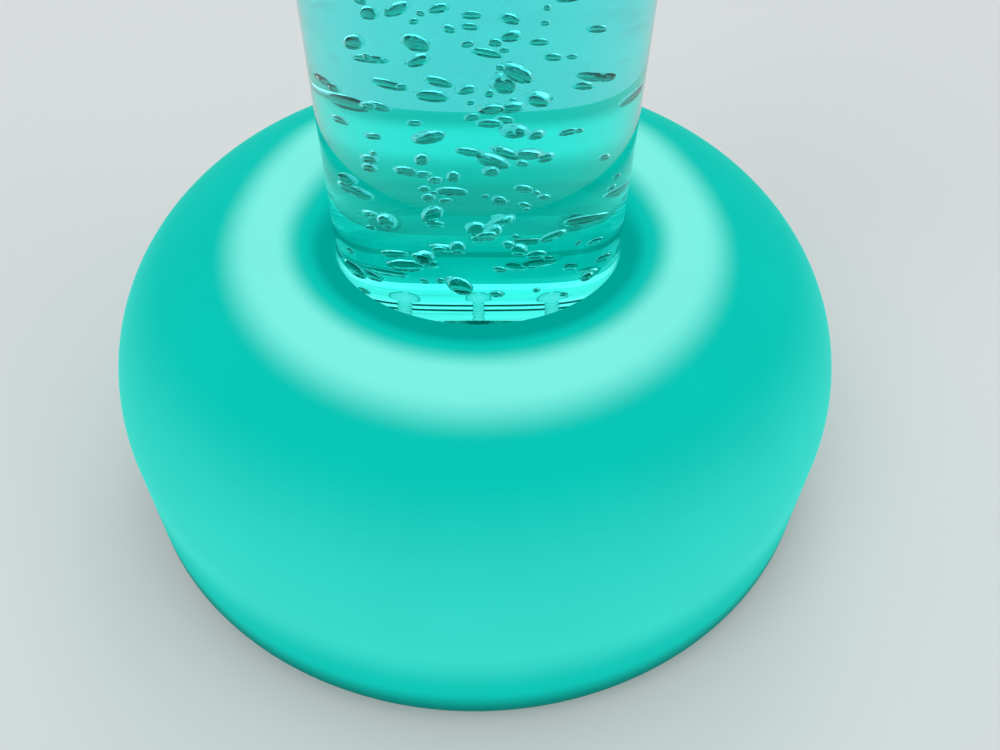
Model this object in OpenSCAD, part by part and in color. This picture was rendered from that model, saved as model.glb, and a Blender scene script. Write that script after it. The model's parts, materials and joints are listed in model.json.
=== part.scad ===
// Bubble tube floor lamp: a glowing ring-shaped base with a water-filled clear tube
// standing in its throat. Millimetres, +Z up the tube, origin on the floor under the
// tube's axis. The controls are at the back, on +Y.

/* [Bubble tube] */
// Outer radius of the clear tube
tube_r = 75; // [73:0.5:77]
// Wall of the clear tube
tube_wall = 4; // [3:0.5:5]
// Length of the clear tube
tube_l = 1134.5; // [900:0.5:1500]
// Space between the water and the top of the tube
head_space = 62; // [40:1:120]

/* [Base shell] */
// Outer radius of the shell at its foot
base_r = 202; // [200:0.5:208]
// How far the shoulder draws in from the foot
shoulder_in = 2; // [0:0.5:6]
// Height of the shoulder above the shell's bottom
shoulder_h = 76; // [68:1:84]
// Height of the shell from its bottom to its crown
shell_h = 167; // [160:1:180]
// Distance from the throat wall out to the crown
crown_out = 33.5; // [28:0.5:40]
// Fullness of the dome, where 2 is an ellipse
dome_full = 1.9; // [1.8:0.05:2.2]
// Wall of the shell
wall = 4; // [3:0.5:5]
// Radius that rounds the shell's bottom edge
edge_r = 15; // [12:0.5:18]
// Clearance between the tube and the throat
throat_gap = 1.1; // [0.6:0.1:2]
// Drop from the crown to the start of the straight throat
lip_drop = 20; // [14:1:26]
// Length of the straight throat
throat_l = 9.5; // [5:0.5:14]

/* [Bottom plate and feet] */
// Thickness of the bottom plate
plate_t = 6; // [5:0.5:8]
// How far the feet stand out below the plate
foot_out = 4; // [3:0.5:6]
// Radius of a foot
foot_r = 12.5; // [10:0.5:15]
// Depth of a foot's pocket in the plate
foot_pocket = 2; // [1.5:0.5:3]
// Number of feet
foot_n = 8; // [6:1:10]
// Number of screws round the bottom plate
plate_screw_n = 10; // [8:1:12]

/* [Tube cradle] */
// Height of the cup's floor above the bottom plate
cup_floor_h = 46; // [44:1:50]
// Depth of the cup that holds the tube's foot
cup_depth = 62; // [52:1:66]
// Height of the lamp shelf above the cup's floor
shelf_h = 24; // [20:1:30]
// Clearance between the tube and the cup
cup_gap = 0.4; // [0.2:0.1:0.8]
// Wall of the cradle
cradle_wall = 4; // [3:0.5:5]
// Width of the lamp shelf round the cup
shelf_w = 38.5; // [34:0.5:42]
// Width of an arch in the cradle's skirt
arch_w = 34; // [28:1:40]

/* [Tube foot] */
// Thickness of the rubber ring under the tube
pad_t = 3; // [2:0.5:4]
// Length of tube below the clear plug
tube_tail = 9.5; // [9.5:0.5:12]
// Thickness of the clear plug
plug_t = 26; // [24:0.5:30]
// Thickness of the plate that closes the air gallery
gallery_plate_t = 4; // [3:0.5:5]
// Width of the air gallery
gallery_w = 10; // [8:0.5:11]
// Depth of the air gallery
gallery_d = 8; // [6:0.5:10]
// Number of air outlets
outlet_n = 16; // [12:1:18]
// Radius of an outlet's head
outlet_r = 4; // [3:0.5:5]

/* [Lights] */
// Number of lamps on the ring under the crown
glow_led_n = 36; // [24:1:42]
// Width of a lamp
led_w = 5; // [4:0.5:6]
// Height of a lamp
led_h = 1.5; // [1:0.1:1.8]
// Thickness of the circuit boards
board_t = 1.6; // [1.2:0.1:1.6]

/* [Air pump] */
// Length of the pump's housing
pump_l = 84; // [82:1:86]
// Width of the pump's housing
pump_w = 54; // [50:1:56]
// Height of the pump's housing
pump_h = 46; // [45:0.5:47]
// Wall of the pump's housing
pump_wall = 2.5; // [2:0.5:3]
// Outer radius of the air hose
hose_r = 4; // [3.5:0.25:4.5]
// Bore radius of the air hose
hose_bore = 2.5; // [2.25:0.25:2.75]
// Radius of the hose's level bends
bend_r = 30; // [26:1:32]

/* [Controls] */
// Height of the controls above the shell's bottom
control_h = 40; // [36:1:46]
// Half the distance between the power inlet and the button
control_dx = 22; // [20:0.5:26]
// Radius of the controls' recess
recess_r = 15; // [13:0.5:16]
// Radius of the push button
button_r = 5; // [4:0.5:6]
// Travel of the push button
button_travel = 1.2; // [0.8:0.1:1.5]

/* [Top cap] */
// Thickness of the cap's top
cap_t = 5; // [4:0.5:7]
// Depth of the cap's skirt
cap_skirt = 24; // [16:1:30]
// Clearance between the cap's skirt and the tube
cap_gap = 0.6; // [0.3:0.1:1]
// Thickness of the cap's seal
seal_t = 1.5; // [1:0.5:3]

/* [Hidden] */
$fn = 96;
EPS = 0.01;                      // overshoot of a cut past a face
FIT = 0.05;                      // running fit and push fit, radial
SEAT = 0.3;                      // clearance of a piece in its seat

// Bubble tube
tube_in = tube_r - tube_wall;

// Base shell
shell_z = foot_out;
crown_z = shell_z + shell_h;
lip_z = crown_z - lip_drop;
throat_z = lip_z - throat_l;
throat_r = tube_r + throat_gap;
crown_r = throat_r + crown_out;
shoulder_r = base_r - shoulder_in;
shoulder_z = shell_z + shoulder_h;
ledge_w = 17;                    // width of the ledge that the plate screws into
joggle = 12;                     // flat from the rounded edge in to the plate
boss_h = 12;
boss_r = 6;
dome_start = 88;                 // degrees up the dome, where the rounded lip takes over

// Bottom plate and feet
plate_r = base_r - edge_r - joggle;
plate_top = shell_z + plate_t;
ledge_in = plate_r - ledge_w;
plate_screw_pcr = plate_r - ledge_w / 2;
foot_pcr = ledge_in - foot_r + 2.5;
screw_r = 2.4;                   // plate and cradle screws
screw_head_r = 4.6;
screw_head_h = 2.6;
thread_gap = 0.1;

// Tube cradle
cup_r = tube_r + cup_gap;
cup_out = cup_r + cradle_wall;
cup_floor_top = plate_top + cup_floor_h;
cup_floor_z = cup_floor_top - cradle_wall;
cup_top = cup_floor_top + cup_depth;
rim_w = 9;
rim_h = 6;
rim_r = cup_r + rim_w;
skirt_r = tube_r - 9;
flange_w = 12;                   // how far the flange reaches inside the skirt
skirt_in = skirt_r - cradle_wall;
flange_in = skirt_in - flange_w;
cup_spigot_t = 3;
cup_spigot_h = 6;
flange_r = tube_r + 9;
cradle_screw_n = 8;
cradle_screw_pcr = (skirt_r + flange_r) / 2;
shelf_r = cup_out + shelf_w;
shelf_top = cup_floor_top + shelf_h;
shelf_z = shelf_top - cradle_wall;
gusset_n = 8;
gusset_toe = 3;                  // how far a gusset stands out at its foot
gusset_back = 6;                 // how far it stops short of the shelf's edge
gusset_tip = 3;                  // its height there
arch_n = 4;
cradle_lap = 1;                  // how far the cradle's parts run into each other
cable_hole_r = 10;
wire_n = 4;                      // wires to the uplight board, up through the cable hole
wire_pcr = 5;
wire_hole_r = 1.2;
arch_top = cup_floor_z - 8;
grip_t = 3.5;                    // section of the rubber grip ring
clamp_t = 4;
clamp_screw_n = 6;
clamp_screw_r = 1.5;
clamp_screw_pcr = cup_r + grip_t + (rim_w - grip_t) / 2;

// Tube foot
tube_z = cup_floor_top + pad_t;
tube_top = tube_z + tube_l;
plug_z = tube_z + tube_tail;
plug_top = plug_z + plug_t;
plug_r = tube_in - 0.2;
ring_r = 1.28;                   // section radius of the plug's sealing rings
ring_gap = 0.02;                 // between a sealing ring and the tube
ring_groove_d = 2.6;
ring_groove_h = 3.2;
ring_zs = [plug_z + 4, plug_z + 9];
gallery_r = tube_in - 15;
gasket_t = 1;
gasket_w = 5.5;
gallery_plate_z = plug_z - gasket_t - gallery_plate_t;
gallery_plate_r = tube_in - 1;
gallery_screw_n = 8;
gallery_screw_r = 1.5;
gallery_screw_pcr = gallery_r + gallery_w / 2 + 4.6;
outlet_h = 5;
outlet_stem_r = 1.9;
outlet_bore = 0.8;
outlet_round = 78;               // degrees that the outlet's head rounds through
barb_r = hose_bore - FIT;
barb_bore = 1.4;
barb_l = 12;

// Lights
uplight_r = tube_in - 5;
uplight_stand = 2;
uplight_z = cup_floor_top + uplight_stand;
uplight_rings = [[0.26, 6], [0.48, 12], [0.7, 16]];   // share of the board's radius, lamps
uplight_screw_pcr = uplight_r - 5;
uplight_boss_r = 3.5;
glow_board_w = 21;
glow_board_r = shelf_r - 5;
glow_led_r = glow_board_r - glow_board_w / 2;
hose_hole_r = hose_r + 1.5;

// Air pump
pump_foot_h = 5;                 // lifts the housing clear of the ledge and the cradle's flange
pump_foot_r = 6;
pump_z = plate_top + pump_foot_h;
pump_places = [for (x = [-1, 1], y = [-1, 1]) [x * (pump_l / 2 - 10), y * (pump_w / 2 - 8)]];
ledge_gap = 1;                   // between the ledge and what stands inside it
pump_x = -(sqrt(pow(ledge_in - ledge_gap - pump_foot_r, 2) - pow(pump_l / 2 - 10, 2))
           - (pump_w / 2 - 8));
gusset_z = pump_z + pump_h + 1;  // the gussets start above the pump
pump_base_h = 20;
pump_corner = 8;
chamber_x = 4;                   // places inside the pump are from its centre
chamber = [24, 26, 17];
pump_axis_z = pump_z + 12;       // the height of the outlet and of the level hoses
outlet_l = 12;                   // reach of the pump's outlet past its housing
pivot_x = -(pump_l / 2 - 9);
pivot_r = 1.5;
post_y = 10;
post_w = 5;
lever_z = pump_z + 29;
lever_t = 2.5;
lever_w = 10;
magnet = [12, 16, 5];
magnet_x = pump_l / 2 - 14.5;
core = [18, 26];
core_top = lever_z - magnet[2] - 2.6;
coil_h = 10;
swing = 1.5;                     // degrees each way
diaphragm_r = 11;
pump_screw_r = 1.5;
pump_boss_r = 4;
pump_boss_h = 7;

// Hose route
rise_r = 18;
hose_end_y = pump_l / 2 + outlet_l - 10;
valve_y = gallery_r + rise_r + bend_r;
valve_r = 7;
valve_l = 16;
valve_cap_l = 5;
valve_cap_x = -bend_r - barb_l - valve_cap_l - 2;
valve_x = valve_cap_x - valve_l;
poppet_r = 3.5;
poppet_t = 1.2;
poppet_stem_r = 1;
poppet_gap = 0.1;
clip_w = 12;
clip_wall = 2.5;

// Controls
control_z = shell_z + control_h;
recess_y = base_r - 7;
recess_wall = 4;
inlet_r = 5.5;
inlet_l = 17;
inlet_pin_r = 1;
inlet_bore = 2.85;
bezel_r = button_r + 4;
bezel_t = 1.5;
button_body_r = button_r + 1.8;
button_body_l = 19;
button_out = 2;
nut_t = 3;
nut_w = 3;
board = [80, 38];                // length along Y, width along X
board_inset = 5;                 // from the board's edges in to its screws
board_stand = 8;
stand_r = 3.5;
board_screw_r = 1.4;
board_x = sqrt(pow(ledge_in - ledge_gap - stand_r, 2) - pow(board[0] / 2 - board_inset, 2))
          - (board[1] / 2 - board_inset);
board_stand_places = [for (x = [-1, 1], y = [-1, 1])
    [x * (board[0] / 2 - board_inset), y * (board[1] / 2 - board_inset)]];

// Top cap
cap_r = tube_r + cap_gap + 3.5;
cap_z = tube_top + seal_t;
cap_edge = 4;
spigot_r = tube_in - 2;
spigot_h = 8;
vent_n = 8;
vent_r = 1.5;

// ---------- shapes used by several pieces ----------

// Ring with its bottom at z = 0
module ring(r_out, r_in, h) {
    difference() {
        cylinder(r = r_out, h = h);
        translate([0, 0, -EPS]) cylinder(r = r_in, h = h + 2 * EPS);
    }
}

// Children set out on a circle
module round_about(n, r, start = 0) {
    for (i = [0:n - 1])
        rotate([0, 0, start + i * 360 / n]) translate([r, 0, 0]) children();
}

// Child turned so that its Z runs along +Y
module along_y() { rotate([-90, 0, 0]) children(); }

// Child turned so that its Z runs along +X
module along_x() { rotate([0, 90, 0]) children(); }

// Pan-head screw that points up from z = 0, with its head below
module screw_up(r, head_r, head_h, l) {
    translate([0, 0, -head_h]) cylinder(r = head_r, h = head_h);
    cylinder(r = r, h = l);
}

// Box with rounded upright edges, centred in x and y
module soft_box(size, r) {
    union() {
        translate([-size[0] / 2 + r, -size[1] / 2, 0])
            cube([size[0] - 2 * r, size[1], size[2]]);
        translate([-size[0] / 2, -size[1] / 2 + r, 0])
            cube([size[0], size[1] - 2 * r, size[2]]);
        for (x = [-1, 1], y = [-1, 1])
            translate([x * (size[0] / 2 - r), y * (size[1] / 2 - r), 0])
                cylinder(r = r, h = size[2]);
    }
}

// Round-ended prism along +Y, from y0 to y1, round the two controls
module control_pill(r, y0, y1) {
    translate([0, y0, control_z]) {
        for (x = [-control_dx, control_dx])
            translate([x, 0, 0]) along_y() cylinder(r = r, h = y1 - y0);
        translate([-control_dx, 0, -r]) cube([2 * control_dx, y1 - y0, 2 * r]);
    }
}

// Barb with a bore, from z = 0 up; its bore starts one bore deep in its root
module barb(l) {
    difference() {
        cylinder(r = barb_r, h = l);
        translate([0, 0, -EPS]) cylinder(r = barb_bore, h = l + 2 * EPS);
    }
}

function arc_pts(cx, cz, rx, rz, a0, a1, n) =
    [for (i = [0:n]) let (a = a0 + (a1 - a0) * i / n) [cx + rx * cos(a), cz + rz * sin(a)]];

function dome_pts(cx, cz, rx, rz, a0, a1, n) =
    [for (i = [0:n]) let (a = a0 + (a1 - a0) * i / n)
        [cx + rx * pow(max(cos(a), 0), 2 / dome_full),
         cz + rz * pow(max(sin(a), 0), 2 / dome_full)]];

// ---------- base ----------

// Outline of the shell from its throat over the crown to its bottom edge; t sets it inwards
function shell_line(t) = concat(
    arc_pts(crown_r, lip_z, crown_r - throat_r - t, lip_drop - t, 180, 90, 12),
    dome_pts(crown_r, shoulder_z, shoulder_r - crown_r - t, crown_z - shoulder_z - t,
             dome_start, 0, 24),
    arc_pts(base_r - edge_r, shell_z + edge_r, edge_r - t, edge_r - t, 0, -90, 8));

function reversed(v) = [for (i = [len(v) - 1:-1:0]) v[i]];

module shell_body() {
    rotate_extrude()
        polygon(concat(
            [[throat_r, throat_z]],
            shell_line(0),
            [[plate_r + SEAT, shell_z],
             [plate_r + SEAT, plate_top],
             [plate_r - ledge_w, plate_top],
             [plate_r - ledge_w, plate_top + wall],
             [plate_r + SEAT + wall, plate_top + wall],
             [plate_r + SEAT + wall, shell_z + wall]],
            reversed(shell_line(wall)),
            [[throat_r + wall, throat_z]]));
}

module shell_block() {
    rotate_extrude()
        polygon(concat([[throat_r, shell_z]], shell_line(0)));
}

module base_shell() {
    color([0.13, 0.83, 0.75]) difference() {
        union() {
            shell_body();
            intersection() {
                shell_block();
                control_pill(recess_r + recess_wall, recess_y - recess_wall, base_r);
            }
            round_about(plate_screw_n, plate_screw_pcr)
                translate([0, 0, plate_top]) cylinder(r = boss_r, h = wall + boss_h);
        }
        control_pill(recess_r, recess_y, base_r + 1);
        for (side = [[-1, inlet_r], [1, button_body_r]])
            translate([side[0] * control_dx, recess_y - recess_wall - 1, control_z])
                along_y() cylinder(r = side[1] + SEAT, h = recess_wall + 2);
        round_about(plate_screw_n, plate_screw_pcr)
            translate([0, 0, plate_top - EPS])
                cylinder(r = screw_r + thread_gap, h = wall + boss_h - 2);
    }
}

module bottom_plate() {
    color([0.16, 0.18, 0.2]) difference() {
        translate([0, 0, shell_z]) cylinder(r = plate_r, h = plate_t);
        round_about(foot_n, foot_pcr, 180 / foot_n)
            translate([0, 0, shell_z - EPS]) cylinder(r = foot_r + SEAT, h = foot_pocket + EPS);
        round_about(plate_screw_n, plate_screw_pcr) plate_screw_hole();
        round_about(cradle_screw_n, cradle_screw_pcr, 180 / cradle_screw_n) plate_screw_hole();
        // Slots that let the pump draw air
        for (i = [1:6])
            translate([pump_x + i * 7, -pump_l / 2 - 30, shell_z - EPS])
                soft_slot(3, 18, plate_t + 2 * EPS);
        at_board_stands(shell_z - EPS)
            cylinder(r = board_screw_r + thread_gap, h = plate_t + 2 * EPS);
        at_pump_places() translate([0, 0, shell_z - EPS]) {
            cylinder(r = pump_screw_r + SEAT, h = plate_t + 2 * EPS);
            cylinder(r = 2.8 + SEAT, h = 2);
        }
    }
}

// Through hole with a pocket for a screw's head, on the plate
module plate_screw_hole() {
    translate([0, 0, shell_z - EPS]) {
        cylinder(r = screw_r + SEAT, h = plate_t + 2 * EPS);
        cylinder(r = screw_head_r + SEAT, h = screw_head_h + SEAT + 2 * EPS);
    }
}

// Slot with round ends, along y from y = 0
module soft_slot(w, l, h) {
    translate([-w / 2, w / 2, 0]) cube([w, l - w, h]);
    for (y = [w / 2, l - w / 2]) translate([0, y, 0]) cylinder(r = w / 2, h = h);
}

module rubber_feet() {
    color([0.1, 0.1, 0.11]) round_about(foot_n, foot_pcr, 180 / foot_n)
        rotate_extrude()
            polygon(concat(
                [[0, 0]],
                arc_pts(foot_r - 1.5, 1.5, 1.5, 1.5, -90, 0, 5),
                [[foot_r, foot_out + foot_pocket], [0, foot_out + foot_pocket]]));
}

module plate_screws() {
    color([0.7, 0.72, 0.74]) round_about(plate_screw_n, plate_screw_pcr)
        translate([0, 0, shell_z + screw_head_h + SEAT])
            screw_up(screw_r, screw_head_r, screw_head_h, plate_t + wall + boss_h - 8);
}

// ---------- tube cradle ----------

// Flange on the bottom plate, and the arched skirt that carries the cup
module tube_cradle() {
    color([0.86, 0.88, 0.88]) difference() {
        union() {
            translate([0, 0, plate_top]) ring(flange_r, flange_in, cradle_wall);
            translate([0, 0, plate_top]) ring(skirt_r, skirt_in, cup_floor_z - plate_top);
        }
        for (i = [0:arch_n - 1]) rotate([0, 0, i * 360 / arch_n]) skirt_arch();
        round_about(cradle_screw_n, cradle_screw_pcr, 180 / cradle_screw_n)
            translate([0, 0, plate_top - EPS])
                cylinder(r = screw_r + thread_gap, h = cradle_wall + 2 * EPS);
    }
}

module tube_cup() {
    color([0.86, 0.88, 0.88]) difference() {
        union() {
            // Spigot in the top of the skirt, open where the air hose passes
            difference() {
                translate([0, 0, cup_floor_z - cup_spigot_h])
                    ring(skirt_in - FIT, skirt_in - FIT - cup_spigot_t, cup_spigot_h + EPS);
                translate([-hose_hole_r, 0, cup_floor_z - cup_spigot_h - EPS])
                    cube([2 * hose_hole_r, skirt_r, cup_spigot_h + EPS]);
            }
            // Cup with its rim
            translate([0, 0, cup_floor_z]) cylinder(r = cup_out, h = cradle_wall);
            translate([0, 0, cup_floor_z]) ring(cup_out, cup_r, cup_top - cup_floor_z);
            translate([0, 0, cup_top - rim_h]) ring(rim_r, cup_r, rim_h);
            // Shelf for the ring of lamps, on gussets
            translate([0, 0, shelf_z]) ring(shelf_r, cup_out - cradle_lap, cradle_wall);
            for (i = [0:gusset_n - 1])
                rotate([0, 0, (i + 0.5) * 360 / gusset_n]) gusset();
            // Low bosses under the uplight board
            round_about(4, uplight_screw_pcr, 45)
                translate([0, 0, cup_floor_top - EPS])
                    cylinder(r = uplight_boss_r, h = uplight_stand + EPS);
        }
        // The air hose comes up through the floor
        translate([0, gallery_r, cup_floor_z - EPS])
            cylinder(r = hose_hole_r, h = cradle_wall + 2 * EPS);
        // Cable hole in the middle of the floor
        translate([0, 0, cup_floor_z - EPS]) cylinder(r = cable_hole_r, h = cradle_wall + 2 * EPS);
        round_about(4, uplight_screw_pcr, 45)
            translate([0, 0, cup_floor_top - 2])
                cylinder(r = board_screw_r + thread_gap, h = uplight_stand + 4);
        // Groove for the grip ring
        translate([0, 0, cup_top - grip_t]) cylinder(r = cup_r + grip_t, h = grip_t + 1);
        round_about(clamp_screw_n, clamp_screw_pcr)
            translate([0, 0, cup_top - rim_h + 1])
                cylinder(r = clamp_screw_r + thread_gap, h = rim_h);
    }
}

module gusset() {
    translate([0, cradle_wall / 2, 0]) rotate([90, 0, 0])
        linear_extrude(height = cradle_wall)
            polygon([[cup_out - cradle_lap, gusset_z], [cup_out + gusset_toe, gusset_z],
                     [shelf_r - gusset_back, shelf_z - gusset_tip],
                     [shelf_r - gusset_back, shelf_z + EPS],
                     [cup_out - cradle_lap, shelf_z + EPS]]);
}

// Round-headed opening through one side of the skirt
module skirt_arch() {
    foot_z = plate_top + cradle_wall;
    translate([skirt_in - 2, -arch_w / 2, foot_z])
        cube([cradle_wall + 4, arch_w, arch_top - foot_z - arch_w / 2]);
    translate([skirt_in - 2, 0, arch_top - arch_w / 2])
        along_x() cylinder(r = arch_w / 2, h = cradle_wall + 4);
}

module cradle_screws() {
    color([0.7, 0.72, 0.74]) round_about(cradle_screw_n, cradle_screw_pcr, 180 / cradle_screw_n)
        translate([0, 0, shell_z + screw_head_h + SEAT])
            screw_up(screw_r, screw_head_r, screw_head_h, plate_t + cradle_wall - 1);
}

module tube_pad() {
    color([0.12, 0.12, 0.13])
        translate([0, 0, cup_floor_top]) ring(tube_r, tube_in - 1, pad_t);
}

module grip_ring() {
    color([0.12, 0.12, 0.13])
        translate([0, 0, cup_top - grip_t]) ring(cup_r + grip_t - FIT, tube_r + FIT, grip_t);
}

module clamp_ring() {
    color([0.86, 0.88, 0.88]) difference() {
        translate([0, 0, cup_top]) ring(rim_r, cup_r, clamp_t);
        round_about(clamp_screw_n, clamp_screw_pcr)
            translate([0, 0, cup_top - EPS])
                cylinder(r = clamp_screw_r + thread_gap, h = clamp_t + 2 * EPS);
    }
}

module clamp_screws() {
    head_h = 1.6;
    color([0.7, 0.72, 0.74]) round_about(clamp_screw_n, clamp_screw_pcr)
        translate([0, 0, cup_top + clamp_t]) mirror([0, 0, 1])
            screw_up(clamp_screw_r, 2.6, head_h, clamp_t + rim_h - 2);
}

// ---------- tube and its foot ----------

module bubble_tube() {
    color([0.75, 0.95, 0.93, 0.35])
        translate([0, 0, tube_z]) ring(tube_r, tube_in, tube_l);
}

module tube_plug() {
    color([0.55, 0.93, 0.88, 0.5]) difference() {
        translate([0, 0, plug_z]) cylinder(r = plug_r, h = plug_t);
        // Air gallery round the underside
        translate([0, 0, plug_z - EPS])
            ring(gallery_r + gallery_w / 2, gallery_r - gallery_w / 2, gallery_d + EPS);
        outlet_places() translate([0, 0, plug_z + gallery_d - 1])
            cylinder(r = outlet_stem_r + FIT, h = plug_t);
        round_about(gallery_screw_n, gallery_screw_pcr, 180 / gallery_screw_n)
            translate([0, 0, plug_z - EPS])
                cylinder(r = gallery_screw_r + thread_gap, h = gallery_d);
        for (z = ring_zs) translate([0, 0, z - ring_groove_h / 2])
            ring(plug_r + 1, plug_r - ring_groove_d, ring_groove_h);
    }
}

module outlet_places() { round_about(outlet_n, gallery_r, 90) children(); }

module plug_seals() {
    color([0.2, 0.22, 0.22]) for (z = ring_zs)
        translate([0, 0, z]) rotate_extrude()
            translate([tube_in - ring_r - ring_gap, 0]) circle(r = ring_r, $fn = 24);
}

module gallery_gasket() {
    color([0.2, 0.22, 0.22]) translate([0, 0, plug_z - gasket_t]) difference() {
        union() {
            ring(gallery_plate_r, gallery_r + gallery_w / 2, gasket_t);
            ring(gallery_r - gallery_w / 2, gallery_r - gallery_w / 2 - gasket_w, gasket_t);
        }
        round_about(gallery_screw_n, gallery_screw_pcr, 180 / gallery_screw_n)
            translate([0, 0, -EPS])
                cylinder(r = gallery_screw_r + thread_gap, h = gasket_t + 2 * EPS);
    }
}

module gallery_plate() {
    color([0.55, 0.93, 0.88, 0.5]) translate([0, 0, gallery_plate_z]) difference() {
        cylinder(r = gallery_plate_r, h = gallery_plate_t);
        round_about(gallery_screw_n, gallery_screw_pcr, 180 / gallery_screw_n)
            translate([0, 0, -EPS])
                cylinder(r = gallery_screw_r + thread_gap, h = gallery_plate_t + 2 * EPS);
        translate([0, gallery_r, -EPS])
            cylinder(r = barb_r + FIT, h = gallery_plate_t + 2 * EPS);
    }
}

module gallery_screws() {
    head_h = 1.6;
    color([0.7, 0.72, 0.74]) round_about(gallery_screw_n, gallery_screw_pcr, 180 / gallery_screw_n)
        translate([0, 0, gallery_plate_z])
            screw_up(gallery_screw_r, 2.6, head_h, gallery_plate_t + gasket_t + gallery_d - 1.5);
}

module air_outlets() {
    color([0.8, 0.95, 0.93]) outlet_places() difference() {
        union() {
            translate([0, 0, plug_z + gallery_d]) cylinder(r = outlet_stem_r, h = plug_t - gallery_d);
            translate([0, 0, plug_top]) rotate_extrude()
                polygon(concat(
                    [[0, 0], [outlet_r, 0]],
                    arc_pts(0, 1, outlet_r, outlet_h - 1, 0, outlet_round, 6),
                    [[0, outlet_h]]));
        }
        translate([0, 0, plug_z]) cylinder(r = outlet_bore, h = plug_t + outlet_h, $fn = 24);
    }
}

// Hose barb under the gallery, with a collar against the plate
module air_inlet() {
    color([0.8, 0.95, 0.93]) translate([0, gallery_r, 0]) difference() {
        union() {
            translate([0, 0, gallery_plate_z - barb_l])
                cylinder(r = barb_r, h = barb_l + gallery_plate_t);
            translate([0, 0, gallery_plate_z - 1.2]) cylinder(r = barb_r + 1.4, h = 1.2);
        }
        translate([0, 0, gallery_plate_z - barb_l - EPS])
            cylinder(r = barb_bore, h = barb_l + gallery_plate_t + 2 * EPS);
    }
}

module water_column() {
    clear = 0.15;
    color([0.1, 0.75, 0.7, 0.4]) difference() {
        translate([0, 0, plug_top + clear])
            cylinder(r = tube_in - clear, h = tube_top - head_space - plug_top - clear);
        outlet_places() translate([0, 0, plug_top])
            cylinder(r = outlet_r + clear, h = outlet_h + clear);
    }
}

// ---------- lights ----------

module uplight_board() {
    color([0.9, 0.93, 0.92]) translate([0, 0, uplight_z]) difference() {
        cylinder(r = uplight_r, h = board_t);
        translate([0, gallery_r, -EPS]) cylinder(r = hose_hole_r, h = board_t + 2 * EPS);
        round_about(wire_n, wire_pcr)
            translate([0, 0, -EPS]) cylinder(r = wire_hole_r, h = board_t + 2 * EPS);
        round_about(4, uplight_screw_pcr, 45)
            translate([0, 0, -EPS]) cylinder(r = board_screw_r + thread_gap, h = board_t + 2 * EPS);
    }
}

module led() {
    translate([-led_w / 2, -led_w / 2, 0]) cube([led_w, led_w, led_h]);
}

module uplight_leds() {
    color([0.5, 1, 0.93]) for (r = uplight_rings)
        round_about(r[1], r[0] * uplight_r, 180 / r[1])
            translate([0, 0, uplight_z + board_t]) led();
}

module uplight_screws() {
    color([0.7, 0.72, 0.74]) round_about(4, uplight_screw_pcr, 45)
        translate([0, 0, uplight_z + board_t]) mirror([0, 0, 1])
            screw_up(board_screw_r, 2.5, 1.4, board_t + uplight_stand + 1);
}

module glow_board() {
    color([0.9, 0.93, 0.92]) translate([0, 0, shelf_top])
        ring(glow_board_r, glow_board_r - glow_board_w, board_t);
}

module glow_leds() {
    color([0.5, 1, 0.93]) round_about(glow_led_n, glow_led_r)
        translate([0, 0, shelf_top + board_t]) led();
}

// ---------- air pump ----------

// The pump stands beside the cradle with its length along Y and its outlet on +Y;
// inside it, the lever runs along its own X
module at_pump(z = 0) { translate([pump_x, 0, pump_z + z]) rotate([0, 0, -90]) children(); }

module at_pump_places() {
    for (p = pump_places) translate([pump_x + p[1], p[0], 0]) children();
}

module pump_base() {
    inner = [pump_l - 2 * pump_wall, pump_w - 2 * pump_wall, pump_base_h];
    color([0.2, 0.24, 0.26]) at_pump() difference() {
        union() {
            difference() {
                soft_box([pump_l, pump_w, pump_base_h], pump_corner);
                translate([0, 0, pump_wall]) soft_box(inner, pump_corner - pump_wall);
            }
            for (p = pump_places) translate([p[0], p[1], 0])
                cylinder(r = pump_boss_r, h = pump_boss_h);
            // Posts that hold the lever's pivot
            for (y = [-1, 1])
                translate([pivot_x - post_w / 2, y * post_y - post_w / 2, pump_wall - EPS])
                    cube([post_w, post_w, lever_z - pump_z + lever_t / 2 + 3.5 - pump_wall]);
        }
        translate([pivot_x, -post_y - post_w, lever_z - pump_z + lever_t / 2])
            along_y() cylinder(r = pivot_r + FIT, h = 2 * (post_y + post_w));
        for (p = pump_places) translate([p[0], p[1], -EPS])
            cylinder(r = pump_screw_r + thread_gap, h = pump_boss_h - 1.5);
        translate([-pump_l / 2 - 1, 0, pump_axis_z - pump_z])
            along_x() cylinder(r = barb_r + 1, h = pump_wall + 2);
    }
}

module pump_cover() {
    cover_h = pump_h - pump_base_h;
    inner = [pump_l - 2 * pump_wall, pump_w - 2 * pump_wall, cover_h];
    color([0.24, 0.28, 0.3]) at_pump(pump_base_h) difference() {
        soft_box([pump_l, pump_w, cover_h], pump_corner);
        translate([0, 0, -pump_wall]) soft_box(inner, pump_corner - pump_wall);
        // Air slots in the end wall
        for (y = [-2:2])
            translate([pump_l / 2 - pump_wall - 1, y * 7 - 1.5, 6]) cube([pump_wall + 2, 3, 12]);
    }
}

module pump_feet() {
    color([0.12, 0.12, 0.13]) at_pump_places()
        translate([0, 0, plate_top]) ring(pump_foot_r, pump_screw_r + thread_gap, pump_foot_h);
}

module pump_screws() {
    head_h = 1.6;
    color([0.7, 0.72, 0.74]) at_pump_places()
        translate([0, 0, shell_z + 2 - EPS])
            screw_up(pump_screw_r, 2.8, head_h, plate_t - 2 + pump_foot_h + pump_boss_h - 2);
}

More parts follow.
